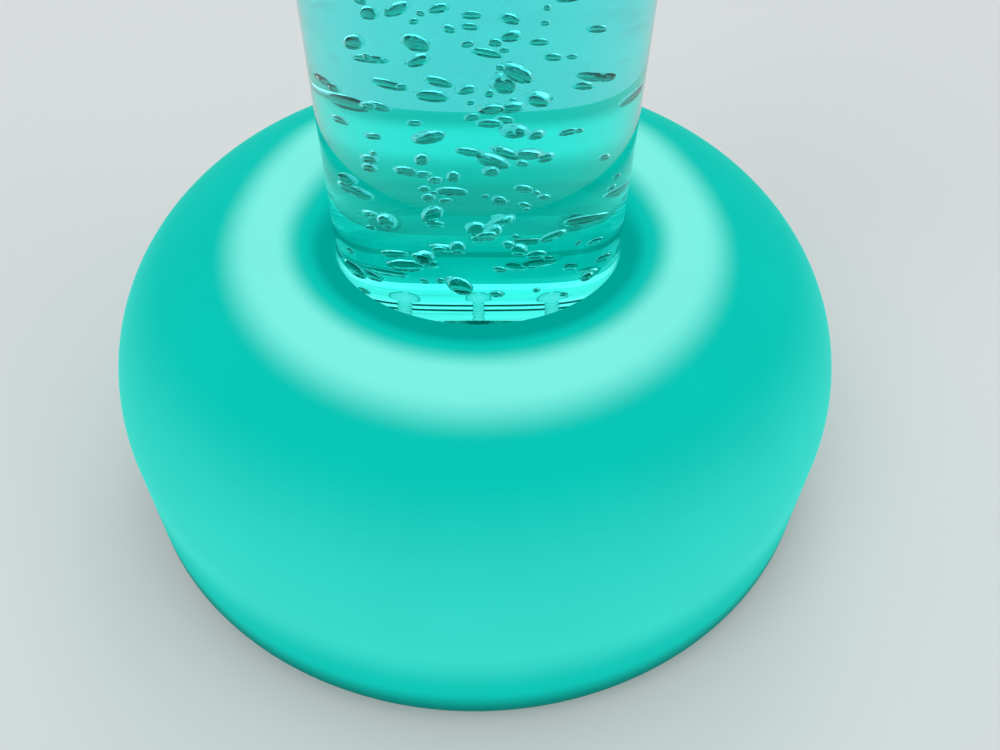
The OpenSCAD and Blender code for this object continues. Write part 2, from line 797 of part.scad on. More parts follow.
// Laminated core with three legs, the coil on the middle one
module pump_core() {
    leg = core[1] / 5;
    color([0.45, 0.46, 0.48]) at_pump(pump_wall)
        translate([magnet_x - core[0] / 2, -core[1] / 2, 0])
            for (y = [0, 2, 4]) union() {
                translate([0, y * leg, 0]) cube([core[0], leg, core_top - pump_z - pump_wall]);
                cube([core[0], core[1], 5]);
            }
}

module pump_coil() {
    leg = core[1] / 5;
    z0 = pump_wall + 5;
    color([0.7, 0.4, 0.2]) at_pump(z0) difference() {
        translate([magnet_x - core[0] / 2 - 2, -1.5 * leg + SEAT, 0])
            cube([core[0] + 4, 3 * leg - 2 * SEAT, coil_h]);
        translate([magnet_x - core[0] / 2 - SEAT, -leg / 2 - SEAT, -EPS])
            cube([core[0] + 2 * SEAT, leg + 2 * SEAT, coil_h + 2 * EPS]);
    }
}

module pump_chamber() {
    color([0.85, 0.86, 0.84]) at_pump(pump_wall) difference() {
        union() {
            translate([chamber_x - chamber[0] / 2, -chamber[1] / 2, 0]) cube(chamber);
            translate([-pump_l / 2 - outlet_l, 0, pump_axis_z - pump_z - pump_wall])
                along_x() cylinder(r = barb_r, h = pump_l / 2 + outlet_l);
        }
        // Pumping space and the way out of it
        translate([chamber_x, 0, chamber[2] - 5]) cylinder(r = diaphragm_r - 3, h = 6);
        translate([-pump_l / 2 - outlet_l - 1, 0, pump_axis_z - pump_z - pump_wall])
            along_x() cylinder(r = barb_bore, h = pump_l / 2 + outlet_l + 1 + chamber_x);
        translate([chamber_x, 0, pump_axis_z - pump_z - pump_wall])
            cylinder(r = barb_bore, h = 6);
    }
}

module pump_diaphragm() {
    base_z = pump_wall + chamber[2];
    top_z = lever_z - pump_z - SEAT;
    color([0.12, 0.12, 0.13]) at_pump() translate([chamber_x, 0, 0])
        rotate_extrude()
            polygon([[0, top_z], [5, top_z], [6, top_z - 2], [9.5, base_z + 2.2],
                     [diaphragm_r, base_z + 2], [diaphragm_r, base_z],
                     [diaphragm_r - 3, base_z], [5, top_z - 3], [0, top_z - 3]]);
}

module pump_pivot() {
    color([0.75, 0.76, 0.78]) at_pump()
        translate([pivot_x, -post_y - post_w / 2 - 1, lever_z - pump_z + lever_t / 2])
            along_y() cylinder(r = pivot_r, h = 2 * post_y + post_w + 2);
}

module pump_armature() {
    color([0.55, 0.57, 0.6]) at_pump() difference() {
        union() {
            translate([pivot_x, -lever_w / 2, lever_z - pump_z])
                cube([magnet_x + magnet[0] / 2 - pivot_x, lever_w, lever_t]);
            translate([pivot_x, -lever_w / 2, lever_z - pump_z + lever_t / 2])
                along_y() cylinder(r = 3.2, h = lever_w);
            translate([magnet_x - magnet[0] / 2, -magnet[1] / 2, lever_z - pump_z - magnet[2]])
                cube([magnet[0], magnet[1], magnet[2] + EPS]);
        }
        translate([pivot_x, -lever_w / 2 - EPS, lever_z - pump_z + lever_t / 2])
            along_y() cylinder(r = pivot_r + FIT, h = lever_w + 2 * EPS);
    }
}

// ---------- air line ----------

// Level quarter bend in the hose, from +Y to +X, about its centre
module level_bend(r) {
    rotate([0, 0, 90]) rotate_extrude(angle = 90) translate([bend_r, 0]) circle(r = r, $fn = 32);
}

module pump_hose_solid(r, over) {
    x0 = pump_x;
    bend_y = valve_y - bend_r;
    translate([x0, hose_end_y - over, pump_axis_z])
        along_y() cylinder(r = r, h = bend_y - hose_end_y + over);
    translate([x0 + bend_r, bend_y, pump_axis_z]) level_bend(r);
    translate([x0 + bend_r, valve_y, pump_axis_z])
        along_x() cylinder(r = r, h = valve_x - 1 - x0 - bend_r + over);
}

module pump_hose() {
    color([0.8, 0.86, 0.86, 0.7]) difference() {
        pump_hose_solid(hose_r, 0);
        pump_hose_solid(hose_bore, EPS);
    }
}

module tube_hose_solid(r, over) {
    start_x = valve_cap_x + valve_cap_l + 1;
    translate([start_x - over, valve_y, pump_axis_z])
        along_x() cylinder(r = r, h = -bend_r - start_x + over);
    translate([-bend_r, valve_y - bend_r, pump_axis_z]) rotate([0, 0, -90]) level_bend(r);
    translate([0, gallery_r + rise_r, pump_axis_z + rise_r])
        rotate([-90, 0, -90]) rotate_extrude(angle = 90)
            translate([rise_r, 0]) circle(r = r, $fn = 32);
    translate([0, gallery_r, pump_axis_z + rise_r])
        cylinder(r = r, h = gallery_plate_z - 2 - pump_axis_z - rise_r + over);
}

module tube_hose() {
    color([0.8, 0.86, 0.86, 0.7]) difference() {
        tube_hose_solid(hose_r, 0);
        tube_hose_solid(hose_bore, EPS);
    }
}

// Check valve: body with its inlet barb, cap with its outlet barb, and the poppet
module valve_body() {
    color([0.9, 0.93, 0.93]) translate([valve_x, valve_y, pump_axis_z]) along_x() difference() {
        union() {
            cylinder(r = valve_r, h = valve_l);
            translate([0, 0, -barb_l]) cylinder(r = barb_r, h = barb_l + 1);
        }
        translate([0, 0, 3]) cylinder(r = 5, h = valve_l);
        translate([0, 0, -barb_l - EPS]) cylinder(r = barb_bore, h = barb_l + 4);
    }
}

module valve_cap() {
    color([0.9, 0.93, 0.93]) translate([valve_cap_x, valve_y, pump_axis_z]) along_x() difference() {
        union() {
            cylinder(r = valve_r, h = valve_cap_l);
            translate([0, 0, -3]) cylinder(r = 5 - FIT, h = 4);
            cylinder(r = barb_r, h = valve_cap_l + barb_l);
        }
        // Guide for the poppet's stem, with air holes round it
        translate([0, 0, -4]) cylinder(r = poppet_stem_r + FIT, h = valve_cap_l + 4, $fn = 32);
        round_about(4, 1.9) translate([0, 0, -4]) cylinder(r = 0.5, h = 5.5, $fn = 16);
        translate([0, 0, 1]) cylinder(r = 2.2, h = 2);
        translate([0, 0, 1]) cylinder(r = barb_bore, h = valve_cap_l + barb_l + EPS);
    }
}

module valve_poppet() {
    color([0.15, 0.4, 0.4])
        translate([valve_x + 3 + poppet_gap, valve_y, pump_axis_z]) along_x() {
            cylinder(r = poppet_r, h = poppet_t);
            cylinder(r = poppet_stem_r, h = valve_l - 3 - poppet_gap, $fn = 32);
        }
}

module valve_clip() {
    half = valve_r + clip_wall;
    color([0.86, 0.88, 0.88])
        translate([valve_x + (valve_l - clip_w) / 2, valve_y, plate_top]) difference() {
            translate([0, -half, 0]) cube([clip_w, 2 * half, pump_axis_z - plate_top + 4]);
            translate([-1, 0, pump_axis_z - plate_top])
                along_x() cylinder(r = valve_r + FIT, h = clip_w + 2);
            translate([-1, -valve_r + 1.2, pump_axis_z - plate_top])
                cube([clip_w + 2, 2 * valve_r - 2.4, 10]);
        }
}

// ---------- controls ----------

module power_inlet() {
    color([0.12, 0.12, 0.13]) translate([-control_dx, recess_y, control_z]) {
        difference() {
            union() {
                along_y() cylinder(r = inlet_r + 2.5, h = 2);
                translate([0, 2 - inlet_l, 0]) along_y() cylinder(r = inlet_r, h = inlet_l);
            }
            translate([0, -7, 0]) along_y() cylinder(r = inlet_bore, h = 10);
        }
        translate([0, -7 - EPS, 0]) along_y() cylinder(r = inlet_pin_r, h = 8);
    }
}

module inlet_nut() {
    color([0.7, 0.72, 0.74])
        translate([-control_dx, recess_y - recess_wall - nut_t, control_z])
            along_y() ring(inlet_r + nut_w, inlet_r + FIT, nut_t);
}

module button_body() {
    color([0.12, 0.12, 0.13]) translate([control_dx, recess_y, control_z]) difference() {
        union() {
            along_y() cylinder(r = bezel_r, h = bezel_t);
            translate([0, bezel_t - button_body_l, 0])
                along_y() cylinder(r = button_body_r, h = button_body_l);
        }
        translate([0, bezel_t - button_body_l + 3, 0])
            along_y() cylinder(r = button_r + FIT, h = button_body_l);
    }
}

module button_nut() {
    color([0.7, 0.72, 0.74])
        translate([control_dx, recess_y - recess_wall - nut_t, control_z])
            along_y() ring(button_body_r + nut_w, button_body_r + FIT, nut_t);
}

module push_button() {
    l = button_body_l - 3 - button_travel - SEAT + button_out;
    color([0.85, 0.87, 0.87])
        translate([control_dx, recess_y + bezel_t + button_out - l, control_z])
            along_y() rotate_extrude()
                polygon(concat(
                    [[0, 0], [button_r, 0]],
                    arc_pts(button_r - 0.8, l - 0.8, 0.8, 0.8, 0, 90, 4),
                    [[0, l]]));
}

// The board lies beside the cradle, opposite the pump, with its length along Y
module at_board(z) { translate([board_x, 0, z]) rotate([0, 0, -90]) children(); }

module at_board_stands(z) {
    at_board(z) for (p = board_stand_places) translate([p[0], p[1], 0]) children();
}

module control_board() {
    color([0.08, 0.4, 0.28]) difference() {
        at_board(plate_top + board_stand)
            translate([-board[0] / 2, -board[1] / 2, 0]) cube([board[0], board[1], board_t]);
        at_board_stands(plate_top + board_stand - EPS)
            cylinder(r = board_screw_r + thread_gap, h = board_t + 2 * EPS);
    }
}

module board_parts() {
    color([0.15, 0.16, 0.17]) at_board(plate_top + board_stand + board_t) {
        // Controller, driver chips and connectors
        translate([-8, -8, 0]) cube([14, 14, 2]);
        for (x = [-26, -18, 12]) translate([x, 8, 0]) cube([6, 5, 2.2]);
        for (x = [-24, -8, 8]) translate([x, -board[1] / 2 + 3, 0]) cube([11, 6, 7]);
        // Capacitors
        for (x = [16, 26]) translate([x, -4, 0]) cylinder(r = 4, h = 12);
        translate([26, 10, 0]) cylinder(r = 3, h = 8);
    }
}

module board_stands() {
    color([0.8, 0.75, 0.5]) at_board_stands(plate_top)
        ring(stand_r, board_screw_r + thread_gap, board_stand);
}

module board_screws() {
    color([0.7, 0.72, 0.74]) at_board_stands(plate_top + board_stand + board_t)
        mirror([0, 0, 1]) screw_up(board_screw_r, 2.5, 1.8, board_t + board_stand + plate_t - 2);
}

// ---------- top cap ----------

module top_cap() {
    under_z = cap_z;
    top_z = cap_z + cap_t;
    color([0.88, 0.9, 0.9]) difference() {
        rotate_extrude()
            polygon(concat(
                [[0, under_z], [spigot_r - 2.5, under_z], [spigot_r - 2.5, under_z - spigot_h],
                 [spigot_r, under_z - spigot_h], [spigot_r, under_z],
                 [tube_r + cap_gap, under_z], [tube_r + cap_gap, under_z - cap_skirt],
                 [cap_r, under_z - cap_skirt]],
                arc_pts(cap_r - cap_edge, top_z - cap_edge, cap_edge, cap_edge, 0, 90, 6),
                [[0, top_z]]));
        // Vents that let the air out
        round_about(vent_n, 22) translate([0, 0, under_z - 1])
            cylinder(r = vent_r, h = cap_t + 2);
        // Finger dish in the middle
        translate([0, 0, top_z - 2]) cylinder(r = 14, h = 3);
    }
}

module cap_seal() {
    color([0.12, 0.12, 0.13])
        translate([0, 0, tube_top]) ring(tube_r, tube_in, seal_t);
}

base_shell();
bottom_plate();
rubber_feet();
plate_screws();
tube_cradle();
tube_cup();
cradle_screws();
tube_pad();
grip_ring();
clamp_ring();
clamp_screws();
bubble_tube();
tube_plug();
plug_seals();
gallery_gasket();
gallery_plate();
gallery_screws();
air_outlets();
air_inlet();
water_column();
uplight_board();
uplight_leds();
uplight_screws();
glow_board();
glow_leds();
pump_base();
pump_cover();
pump_feet();
pump_core();
pump_coil();
pump_chamber();
pump_diaphragm();
pump_pivot();
pump_armature();
pump_screws();
pump_hose();
valve_body();
valve_cap();
valve_poppet();
valve_clip();
tube_hose();
power_inlet();
inlet_nut();
button_body();
button_nut();
push_button();
control_board();
board_parts();
board_stands();
board_screws();
top_cap();
cap_seal();
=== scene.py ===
"""Bubble tube floor lamp: the looks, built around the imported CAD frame."""

import json
import math

import bmesh
import bpy
from mathutils import Matrix, Vector


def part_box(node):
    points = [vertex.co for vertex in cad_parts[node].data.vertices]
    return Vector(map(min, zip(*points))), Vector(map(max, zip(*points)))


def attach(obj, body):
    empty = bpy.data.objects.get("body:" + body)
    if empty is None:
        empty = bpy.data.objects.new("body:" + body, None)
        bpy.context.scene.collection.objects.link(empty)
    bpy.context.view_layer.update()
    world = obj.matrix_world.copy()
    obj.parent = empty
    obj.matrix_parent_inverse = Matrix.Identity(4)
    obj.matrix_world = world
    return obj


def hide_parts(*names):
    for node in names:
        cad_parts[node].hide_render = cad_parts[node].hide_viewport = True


bl_info = {
    "name": "Bubble Tube Floor Lamp",
    "version": (1, 0, 0),
    "blender": (4, 5, 0),
    "location": "3D View > Sidebar > Lamp",
    "description": "Builds the looks of a bubble tube floor lamp around its CAD frame",
    "category": "Object",
}

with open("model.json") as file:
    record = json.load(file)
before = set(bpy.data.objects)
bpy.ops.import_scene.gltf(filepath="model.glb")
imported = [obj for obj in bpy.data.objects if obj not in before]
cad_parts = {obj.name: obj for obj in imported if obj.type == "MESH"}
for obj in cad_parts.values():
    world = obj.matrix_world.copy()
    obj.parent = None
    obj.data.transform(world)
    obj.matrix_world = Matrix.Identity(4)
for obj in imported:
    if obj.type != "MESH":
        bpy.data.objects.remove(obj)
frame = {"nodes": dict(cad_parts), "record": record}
NODES = frame["nodes"]
SLOT_OF = {part["node"]: part["material_slot"] for part in frame["record"]["subparts"]}
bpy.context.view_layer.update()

MM = 0.001
TAU = 2 * math.pi


def height_span(node):
    """Lowest and highest point of a CAD node above the floor, in metres."""
    low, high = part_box(node)
    return low[2], high[2]


FOOT_Z, CROWN_Z = height_span("base_shell")
PLUG_Z, PLUG_TOP = height_span("tube_plug")
TUBE_Z, TUBE_TOP = height_span("bubble_tube")
WATER_TOP = height_span("water_column")[1]
CUP_Z = height_span("tube_cup")[0]
CUP_TOP = height_span("clamp_ring")[1]

# Sizes that several pieces share
THROAT_GAP = 1.1 * MM        # between the tube and the shell's throat
RECESS_Y = 195 * MM          # floor of the controls' recess
GALLERY_R = 56 * MM          # the air gallery under the plug, and the ring of outlets over it
GALLERY_DEEP = 8 * MM
WALL_RINGS = 40              # rings along a tall wall, which keep its shading normals level
ROUND_SEGMENTS = 192         # of the tube and of what stands in it


# ---------- sizes and colours that a user would change ----------


class LampSizes(bpy.types.PropertyGroup):
    tube_radius: bpy.props.FloatProperty(
        name="Tube radius", description="Outer radius of the clear tube",
        default=75 * MM, min=0.02, unit="LENGTH")
    tube_wall: bpy.props.FloatProperty(
        name="Tube wall", description="Wall of the clear tube",
        default=4 * MM, min=0.001, unit="LENGTH")
    base_radius: bpy.props.FloatProperty(
        name="Base radius", description="Outer radius of the glowing base at its foot",
        default=202 * MM, min=0.1, unit="LENGTH")
    shoulder_height: bpy.props.FloatProperty(
        name="Shoulder height", description="Where the dome of the base starts, above the floor",
        default=80 * MM, min=0.03, unit="LENGTH")
    crown_out: bpy.props.FloatProperty(
        name="Crown reach", description="Distance from the throat wall out to the crown",
        default=33.5 * MM, min=0.01, unit="LENGTH")
    dome_fullness: bpy.props.FloatProperty(
        name="Dome fullness", description="Fullness of the dome, where 2 is an ellipse",
        default=1.9, min=1.5, max=2.5)
    shell_wall: bpy.props.FloatProperty(
        name="Shell wall", description="Wall of the glowing base",
        default=4 * MM, min=0.001, unit="LENGTH")
    bubble_columns: bpy.props.IntProperty(
        name="Bubble columns", description="Number of air outlets that send up bubbles",
        default=16, min=1)
    bubble_pitch: bpy.props.FloatProperty(
        name="Bubble pitch", description="Mean height between two bubbles of one column",
        default=17 * MM, min=0.005, unit="LENGTH")
    bubble_radius: bpy.props.FloatProperty(
        name="Bubble radius", description="Radius of the largest bubble",
        default=7.2 * MM, min=0.001, unit="LENGTH")
    bubble_seed: bpy.props.IntProperty(
        name="Bubble seed", description="Seed of the bubbles' places", default=11)


class LampColours(bpy.types.PropertyGroup):
    glow: bpy.props.StringProperty(
        name="Glow", description="Light of the base beside its bright ring",
        default="#08C4B4")
    ring: bpy.props.StringProperty(
        name="Ring", description="Light of the bright ring over the lamps",
        default="#7DF0E3")
    lip: bpy.props.StringProperty(
        name="Lip", description="Light of the lip next to the tube", default="#00A294")
    wall: bpy.props.StringProperty(
        name="Wall", description="Light halfway down the side wall", default="#3AD8C9")
    foot: bpy.props.StringProperty(
        name="Foot", description="Light at the edge by the floor", default="#006A61")
    plastic: bpy.props.StringProperty(
        name="Plastic", description="Moulded polyethylene under the lamp's own light",
        default="#00332F")
    floor: bpy.props.StringProperty(
        name="Floor", description="Studio floor and backdrop", default="#D6DADB")


def sizes():
    """The sizes that a user can change."""
    return bpy.context.scene.lamp_sizes


def colours():
    """The colours that a user can change."""
    return bpy.context.scene.lamp_colours


# ---------- helpers for nodes and materials ----------


def linear(hex_colour):
    """sRGB hex to linear RGBA."""
    value = hex_colour.lstrip("#")
    rgb = [int(value[i:i + 2], 16) / 255 for i in (0, 2, 4)]
    return [c / 12.92 if c <= 0.04045 else ((c + 0.055) / 1.055) ** 2.4 for c in rgb] + [1.0]


def add(tree, kind, sockets=None, **settings):
    """Adds a node with its settings; a socket takes a value or another node's output."""
    node = tree.nodes.new(kind)
    for name, value in settings.items():
        setattr(node, name, value)
    for key, value in (sockets or {}).items():
        if isinstance(value, bpy.types.NodeSocket):
            tree.links.new(value, node.inputs[key])
        else:
            node.inputs[key].default_value = value
    return node


def colour_ramp(tree, value, stops, easing="LINEAR"):
    """Colour of a ramp with (place, hex colour) stops, driven by a value."""
    node = add(tree, "ShaderNodeValToRGB", {"Fac": value})
    ramp = node.color_ramp
    while len(ramp.elements) > 1:
        ramp.elements.remove(ramp.elements[-1])
    ramp.elements[0].position = stops[0][0]
    ramp.elements[0].color = linear(stops[0][1])
    for place, colour in stops[1:]:
        ramp.elements.new(place).color = linear(colour)
    ramp.interpolation = easing
    return node.outputs["Color"]


def new_material(name, sockets=None):
    """An empty node material and its Principled shader, wired to the output."""
    material = bpy.data.materials.new(name)
    material.use_nodes = True
    tree = material.node_tree
    tree.nodes.clear()
    shader = add(tree, "ShaderNodeBsdfPrincipled", sockets)
    add(tree, "ShaderNodeOutputMaterial", {"Surface": shader.outputs["BSDF"]})
    return material, tree, shader


def stretched(tree, point, factors):
    """A point with each coordinate multiplied by its own factor."""
    return add(tree, "ShaderNodeVectorMath", {0: point, 1: factors},
               operation="MULTIPLY").outputs[0]


def object_point(tree):
    """The surface point in Object coordinates, in millimetres."""
    return stretched(tree, add(tree, "ShaderNodeTexCoord").outputs["Object"], (1 / MM,) * 3)


def coordinate(tree, point, axis):
    """One coordinate of a point, by its letter."""
    return add(tree, "ShaderNodeSeparateXYZ", {0: point}).outputs[axis]


def share_between(tree, value, low, high, to_low=0.0, to_high=1.0):
    """A value's place between two others, clamped."""
    return add(tree, "ShaderNodeMapRange",
               {"Value": value, "From Min": low, "From Max": high, "To Min": to_low,
                "To Max": to_high}).outputs["Result"]


def relief(tree, shader, height, depth_mm):
    """Bump of the surface after a height value, with a real depth."""
    bump = add(tree, "ShaderNodeBump",
               {"Height": height, "Strength": 1.0, "Distance": depth_mm * MM})
    tree.links.new(bump.outputs["Normal"], shader.inputs["Normal"])


def grain(tree, shader, point, size_mm, depth_mm, rough):
    """Bump of a noise with a real grain size, and a roughness that follows it."""
    noise = add(tree, "ShaderNodeTexNoise",
                {"Vector": point, "Scale": 1.0 / size_mm, "Detail": 2.0}).outputs["Fac"]
    relief(tree, shader, noise, depth_mm)
    tree.links.new(share_between(tree, noise, 0.0, 1.0, *rough), shader.inputs["Roughness"])
    return noise


def two_tone(tree, shader, value, dark, light, socket="Base Color", low=0.35, high=0.65):
    """A colour that drifts between two close tones with a noise's value."""
    tone = colour_ramp(tree, value, [(low, dark), (high, light)])
    tree.links.new(tone, shader.inputs[socket])


# ---------- materials ----------

# Light of the shell, in millimetres. The ring of lamps shows as a band round an axis in
# front of the tube's: by RING_SHIFT on the front half, and by less behind the tube, down to
# RING_SHIFT_BACK from RING_FADE on
RING_SHIFT, RING_SHIFT_BACK, RING_FADE = 18.5, 4.0, 70.0
RING_FROM, RING_TO = 70.0, 145.0
RING_STOPS = [(78, "lip"), (87, "glow"), (100, "ring"), (111, "ring"), (131, "glow")]
# Below the band the light follows the outline: the distance from the axis, and down the
# side wall the shoulder's radius plus the distance below the shoulder
OUTLINE_FROM, OUTLINE_TO = 140.0, 280.0
OUTLINE_STOPS = [(160, "glow"), (207, "wall"), (244, "glow"), (268, "foot")]
JOIN_FROM, JOIN_TO = 146.0, 162.0
GLOW_STRENGTH = 0.97
INNER_STRENGTH = 0.7
RECESS_SHADE_STRENGTH = 0.5        # painted shade in the recess; its double wall also lets less light through
WATER_IOR = 1.333
SILICONE_IOR = 1.41
LAMP_MIRRORED = "#5CD9CC"    # painted reflection: tint of what clear pieces mirror, mostly the lamp's own glow
# A moulded part's eroded texture: grain size and depth in millimetres
MOULD_GRAIN = (0.9, 0.012)


def flat_distance(tree, point):
    """Distance from the vertical axis."""
    flat = stretched(tree, point, (1, 1, 0))
    return add(tree, "ShaderNodeVectorMath", {0: flat}, operation="LENGTH").outputs["Value"]


def stops_between(stops, low, high):
    """Ramp stops from places in millimetres."""
    return [((place - low) / (high - low), colour) for place, colour in stops]


def glow_ramp(tree, place, stops, low, high):
    """A soft-stepped ramp between the lamp's own colours."""
    named = [(spot, getattr(colours(), colour)) for spot, colour in stops]
    return colour_ramp(tree, share_between(tree, place, low, high),
                       stops_between(named, low, high), "EASE")


def shell_light(tree, point):
    """Colour of the shell's own light over its whole surface."""
    axes = add(tree, "ShaderNodeSeparateXYZ", {0: point})
    shift = share_between(tree, axes.outputs["Y"], 0.0, RING_FADE, RING_SHIFT,
                          RING_SHIFT_BACK)
    step = add(tree, "ShaderNodeCombineXYZ", {"Y": shift})
    moved = add(tree, "ShaderNodeVectorMath", {0: point, 1: step.outputs[0]})
    ring = glow_ramp(tree, flat_distance(tree, moved.outputs[0]), RING_STOPS, RING_FROM,
                     RING_TO)
    shoulder = sizes().shoulder_height / MM
    below = add(tree, "ShaderNodeMath", {0: shoulder, 1: axes.outputs["Z"]},
                operation="SUBTRACT")
    drop = add(tree, "ShaderNodeMath", {0: below.outputs[0], 1: 0.0}, operation="MAXIMUM")
    along = add(tree, "ShaderNodeMath", {0: flat_distance(tree, point), 1: drop.outputs[0]},
                operation="ADD").outputs[0]
    side = glow_ramp(tree, along, OUTLINE_STOPS, OUTLINE_FROM, OUTLINE_TO)
    return add(tree, "ShaderNodeMix",
               {0: share_between(tree, along, JOIN_FROM, JOIN_TO), 6: ring, 7: side},
               data_type="RGBA").outputs[2]


def glow_with(tree, shader, colour, drift):
    """Emission of a colour, a little uneven after a noise value."""
    light = add(tree, "ShaderNodeVectorMath", {0: colour, "Scale": drift}, operation="SCALE")
    tree.links.new(light.outputs[0], shader.inputs["Emission Color"])


def glowing_polyethylene(name, strength):
    """Rotation-moulded natural polyethylene, lit from inside: satin, faintly pebbled from
    the mould, and bright where the ring of lamps stands close under it. The lamp outshines
    the room's reflection on the skin, so the specular level is low."""
    material, tree, shader = new_material(name, {
        "Base Color": linear(colours().plastic), "IOR": 1.35, "Specular IOR Level": 0.01,
        "Emission Strength": strength})
    point = object_point(tree)
    # The moulded wall's thickness drifts over a few centimetres
    wall = add(tree, "ShaderNodeTexNoise", {"Vector": point, "Scale": 1 / 45, "Detail": 1.0})
    drift = share_between(tree, wall.outputs["Fac"], 0.0, 1.0, 0.96, 1.04)
    glow_with(tree, shader, shell_light(tree, point), drift)
    grain(tree, shader, point, 1.6, 0.02, (0.40, 0.50))
    return material


def clear_acrylic(name, tone, mirrored, wave_mm, depth_mm, rough):
    """Clear acrylic, extruded for the tube and cast for the plug: glass-clear and polished,
    with a long faint wave that bends what is seen through it."""
    # The specular tint is a painted reflection of the lamp's teal glow
    material, tree, shader = new_material(name, {
        "Base Color": linear(tone), "Specular Tint": linear(mirrored),
        "Transmission Weight": 1.0, "IOR": 1.49})
    grain(tree, shader, object_point(tree), wave_mm, depth_mm, (0.0, rough))
    return material


def lit_water():
    """Distilled water in the lamp's light, which is painted as a tint of what is seen through
    it: red fades over some 7 cm of it, green and blue hardly at all."""
    # Its specular tint is the same painted reflection of the lamp's glow
    material, tree, shader = new_material("lit_water", {
        "Base Color": linear("#FFFFFF"), "Specular Tint": linear(LAMP_MIRRORED),
        "Roughness": 0.0, "Transmission Weight": 1.0, "IOR": WATER_IOR})
    # Painted light: the absorption gives the water the lamp's teal light
    volume = add(tree, "ShaderNodeVolumeAbsorption",
                 {"Color": (0.0, 0.97, 0.962, 1.0), "Density": 15.0})
    output = next(n for n in tree.nodes if n.type == "OUTPUT_MATERIAL")
    tree.links.new(volume.outputs["Volume"], output.inputs["Volume"])
    return material


BALL_MARK = 2.0     # added to a bubble point's height, so that only bubbles are above zero


def bubble_skin():
    """Skin of an air bubble in the water, with painted light and shade: a dark upper rim and a
    bright lower crescent, painted after the light that comes up through the plug."""
    material, tree, shader = new_material("air_bubble_skin", {
        "Roughness": 0.0, "Transmission Weight": 1.0, "IOR": WATER_IOR})
    upness = add(tree, "ShaderNodeAttribute", attribute_name="upness").outputs["Fac"]
    place = share_between(tree, upness, BALL_MARK - 1.0, BALL_MARK + 1.0)
    # Painted light and shade, in what is seen through the skin and in what it mirrors: bright
    # low on the bubble, dark at its top
    through = colour_ramp(tree, place, [
        (0.0, "#E9FFFC"), (0.38, "#D9FCF7"), (0.60, "#4DB0A6"), (1.0, "#1B8278")])
    tree.links.new(through, shader.inputs["Base Color"])
    mirrored = colour_ramp(tree, place, [
        (0.0, "#E6FFFC"), (0.34, "#B8F8F0"), (0.52, "#23847B"), (1.0, "#0A4A44")])
    tree.links.new(mirrored, shader.inputs["Specular Tint"])
    return material


def sealing_bead():
    """Clear sealant in the corner of plug and tube, full of the uplights' light."""
    material, tree, shader = new_material("lit_clear_sealant", {"Emission Strength": 1.25})
    noise = grain(tree, shader, object_point(tree), 6.0, 0.05, (0.12, 0.2))
    two_tone(tree, shader, noise, "#0F665E", "#12756C")
    two_tone(tree, shader, noise, "#C2FBF3", "#EEFFFD", "Emission Color")
    return material


def nylon_through_wall():
    """Black nylon part that goes through the shell's wall: black in the recess, and washed
    by the lamp's light inside."""
    material, tree, shader = new_material("black_nylon_through_wall",
                                          {"Emission Strength": 0.9})
    point = object_point(tree)
    noise = grain(tree, shader, point, *MOULD_GRAIN, (0.4, 0.5))
    two_tone(tree, shader, noise, "#16181A", "#1F2225")
    wall = RECESS_Y / MM
    back = share_between(tree, coordinate(tree, point, "Y"), wall - 13.0, wall - 9.0)
    light = colour_ramp(tree, back, [(0.0, "#068C81"), (1.0, "#000000")])
    tree.links.new(light, shader.inputs["Emission Color"])
    return material


# Light of the plug's edge at heights over its underside, in millimetres
PLUG_EDGE_STOPS = [
    (0.0, "#A8F3E9"), (2.2, "#B6F6EE"), (2.9, "#2FA79B"), (4.4, "#2FA79B"),
    (5.2, "#D6FFFA"), (7.4, "#CBFDF6"), (8.0, "#1C8E83"), (9.4, "#1C8E83"),
    (10.2, "#E4FFFC"), (11.4, "#B4F6EC"), (16.0, "#A6F2E8"), (22.0, "#AEF5EB"),
    (24.2, "#8FE6DB"), (24.7, "#E8FFFD"), (26.0, "#F0FFFE"),
]


def plug_edge():
    """Turned, unpolished edge of the acrylic plug, which the uplights fill with light, with
    the dark lines of the two sealing rings in it."""
    material, tree, shader = new_material("lit_acrylic_edge", {"Emission Strength": 1.25})
    point = object_point(tree)
    low, high = PLUG_Z / MM, PLUG_TOP / MM
    place = share_between(tree, coordinate(tree, point, "Z"), low, high)
    light = colour_ramp(tree, place, stops_between(PLUG_EDGE_STOPS, 0.0, high - low))
    # Turning marks run round the edge
    lines = stretched(tree, point, (0.05, 0.05, 1.0))
    noise = grain(tree, shader, lines, 1.6, 0.01, (0.35, 0.55))
    glow_with(tree, shader, light, share_between(tree, noise, 0.25, 0.75, 0.8, 1.16))
    two_tone(tree, shader, noise, "#0B5049", "#0E5A52")
    return material


def lit_silicone():
    """Milky silicone of the air outlets with the uplights shining through it: brightest where
    it is seen square on."""
    material, tree, shader = new_material("lit_silicone", {
        "Emission Strength": 0.9, "IOR": SILICONE_IOR})
    noise = grain(tree, shader, object_point(tree), 1.2, 0.02, (0.22, 0.34))
    two_tone(tree, shader, noise, "#1A6F67", "#238A80")
    facing = add(tree, "ShaderNodeLayerWeight", {"Blend": 0.35}).outputs["Facing"]
    light = colour_ramp(tree, facing, [
        (0.0, "#D2FDF7"), (0.32, "#9BEFE4"), (0.58, "#0C8378"), (1.0, "#02534B")])
    tree.links.new(light, shader.inputs["Emission Color"])
    return material


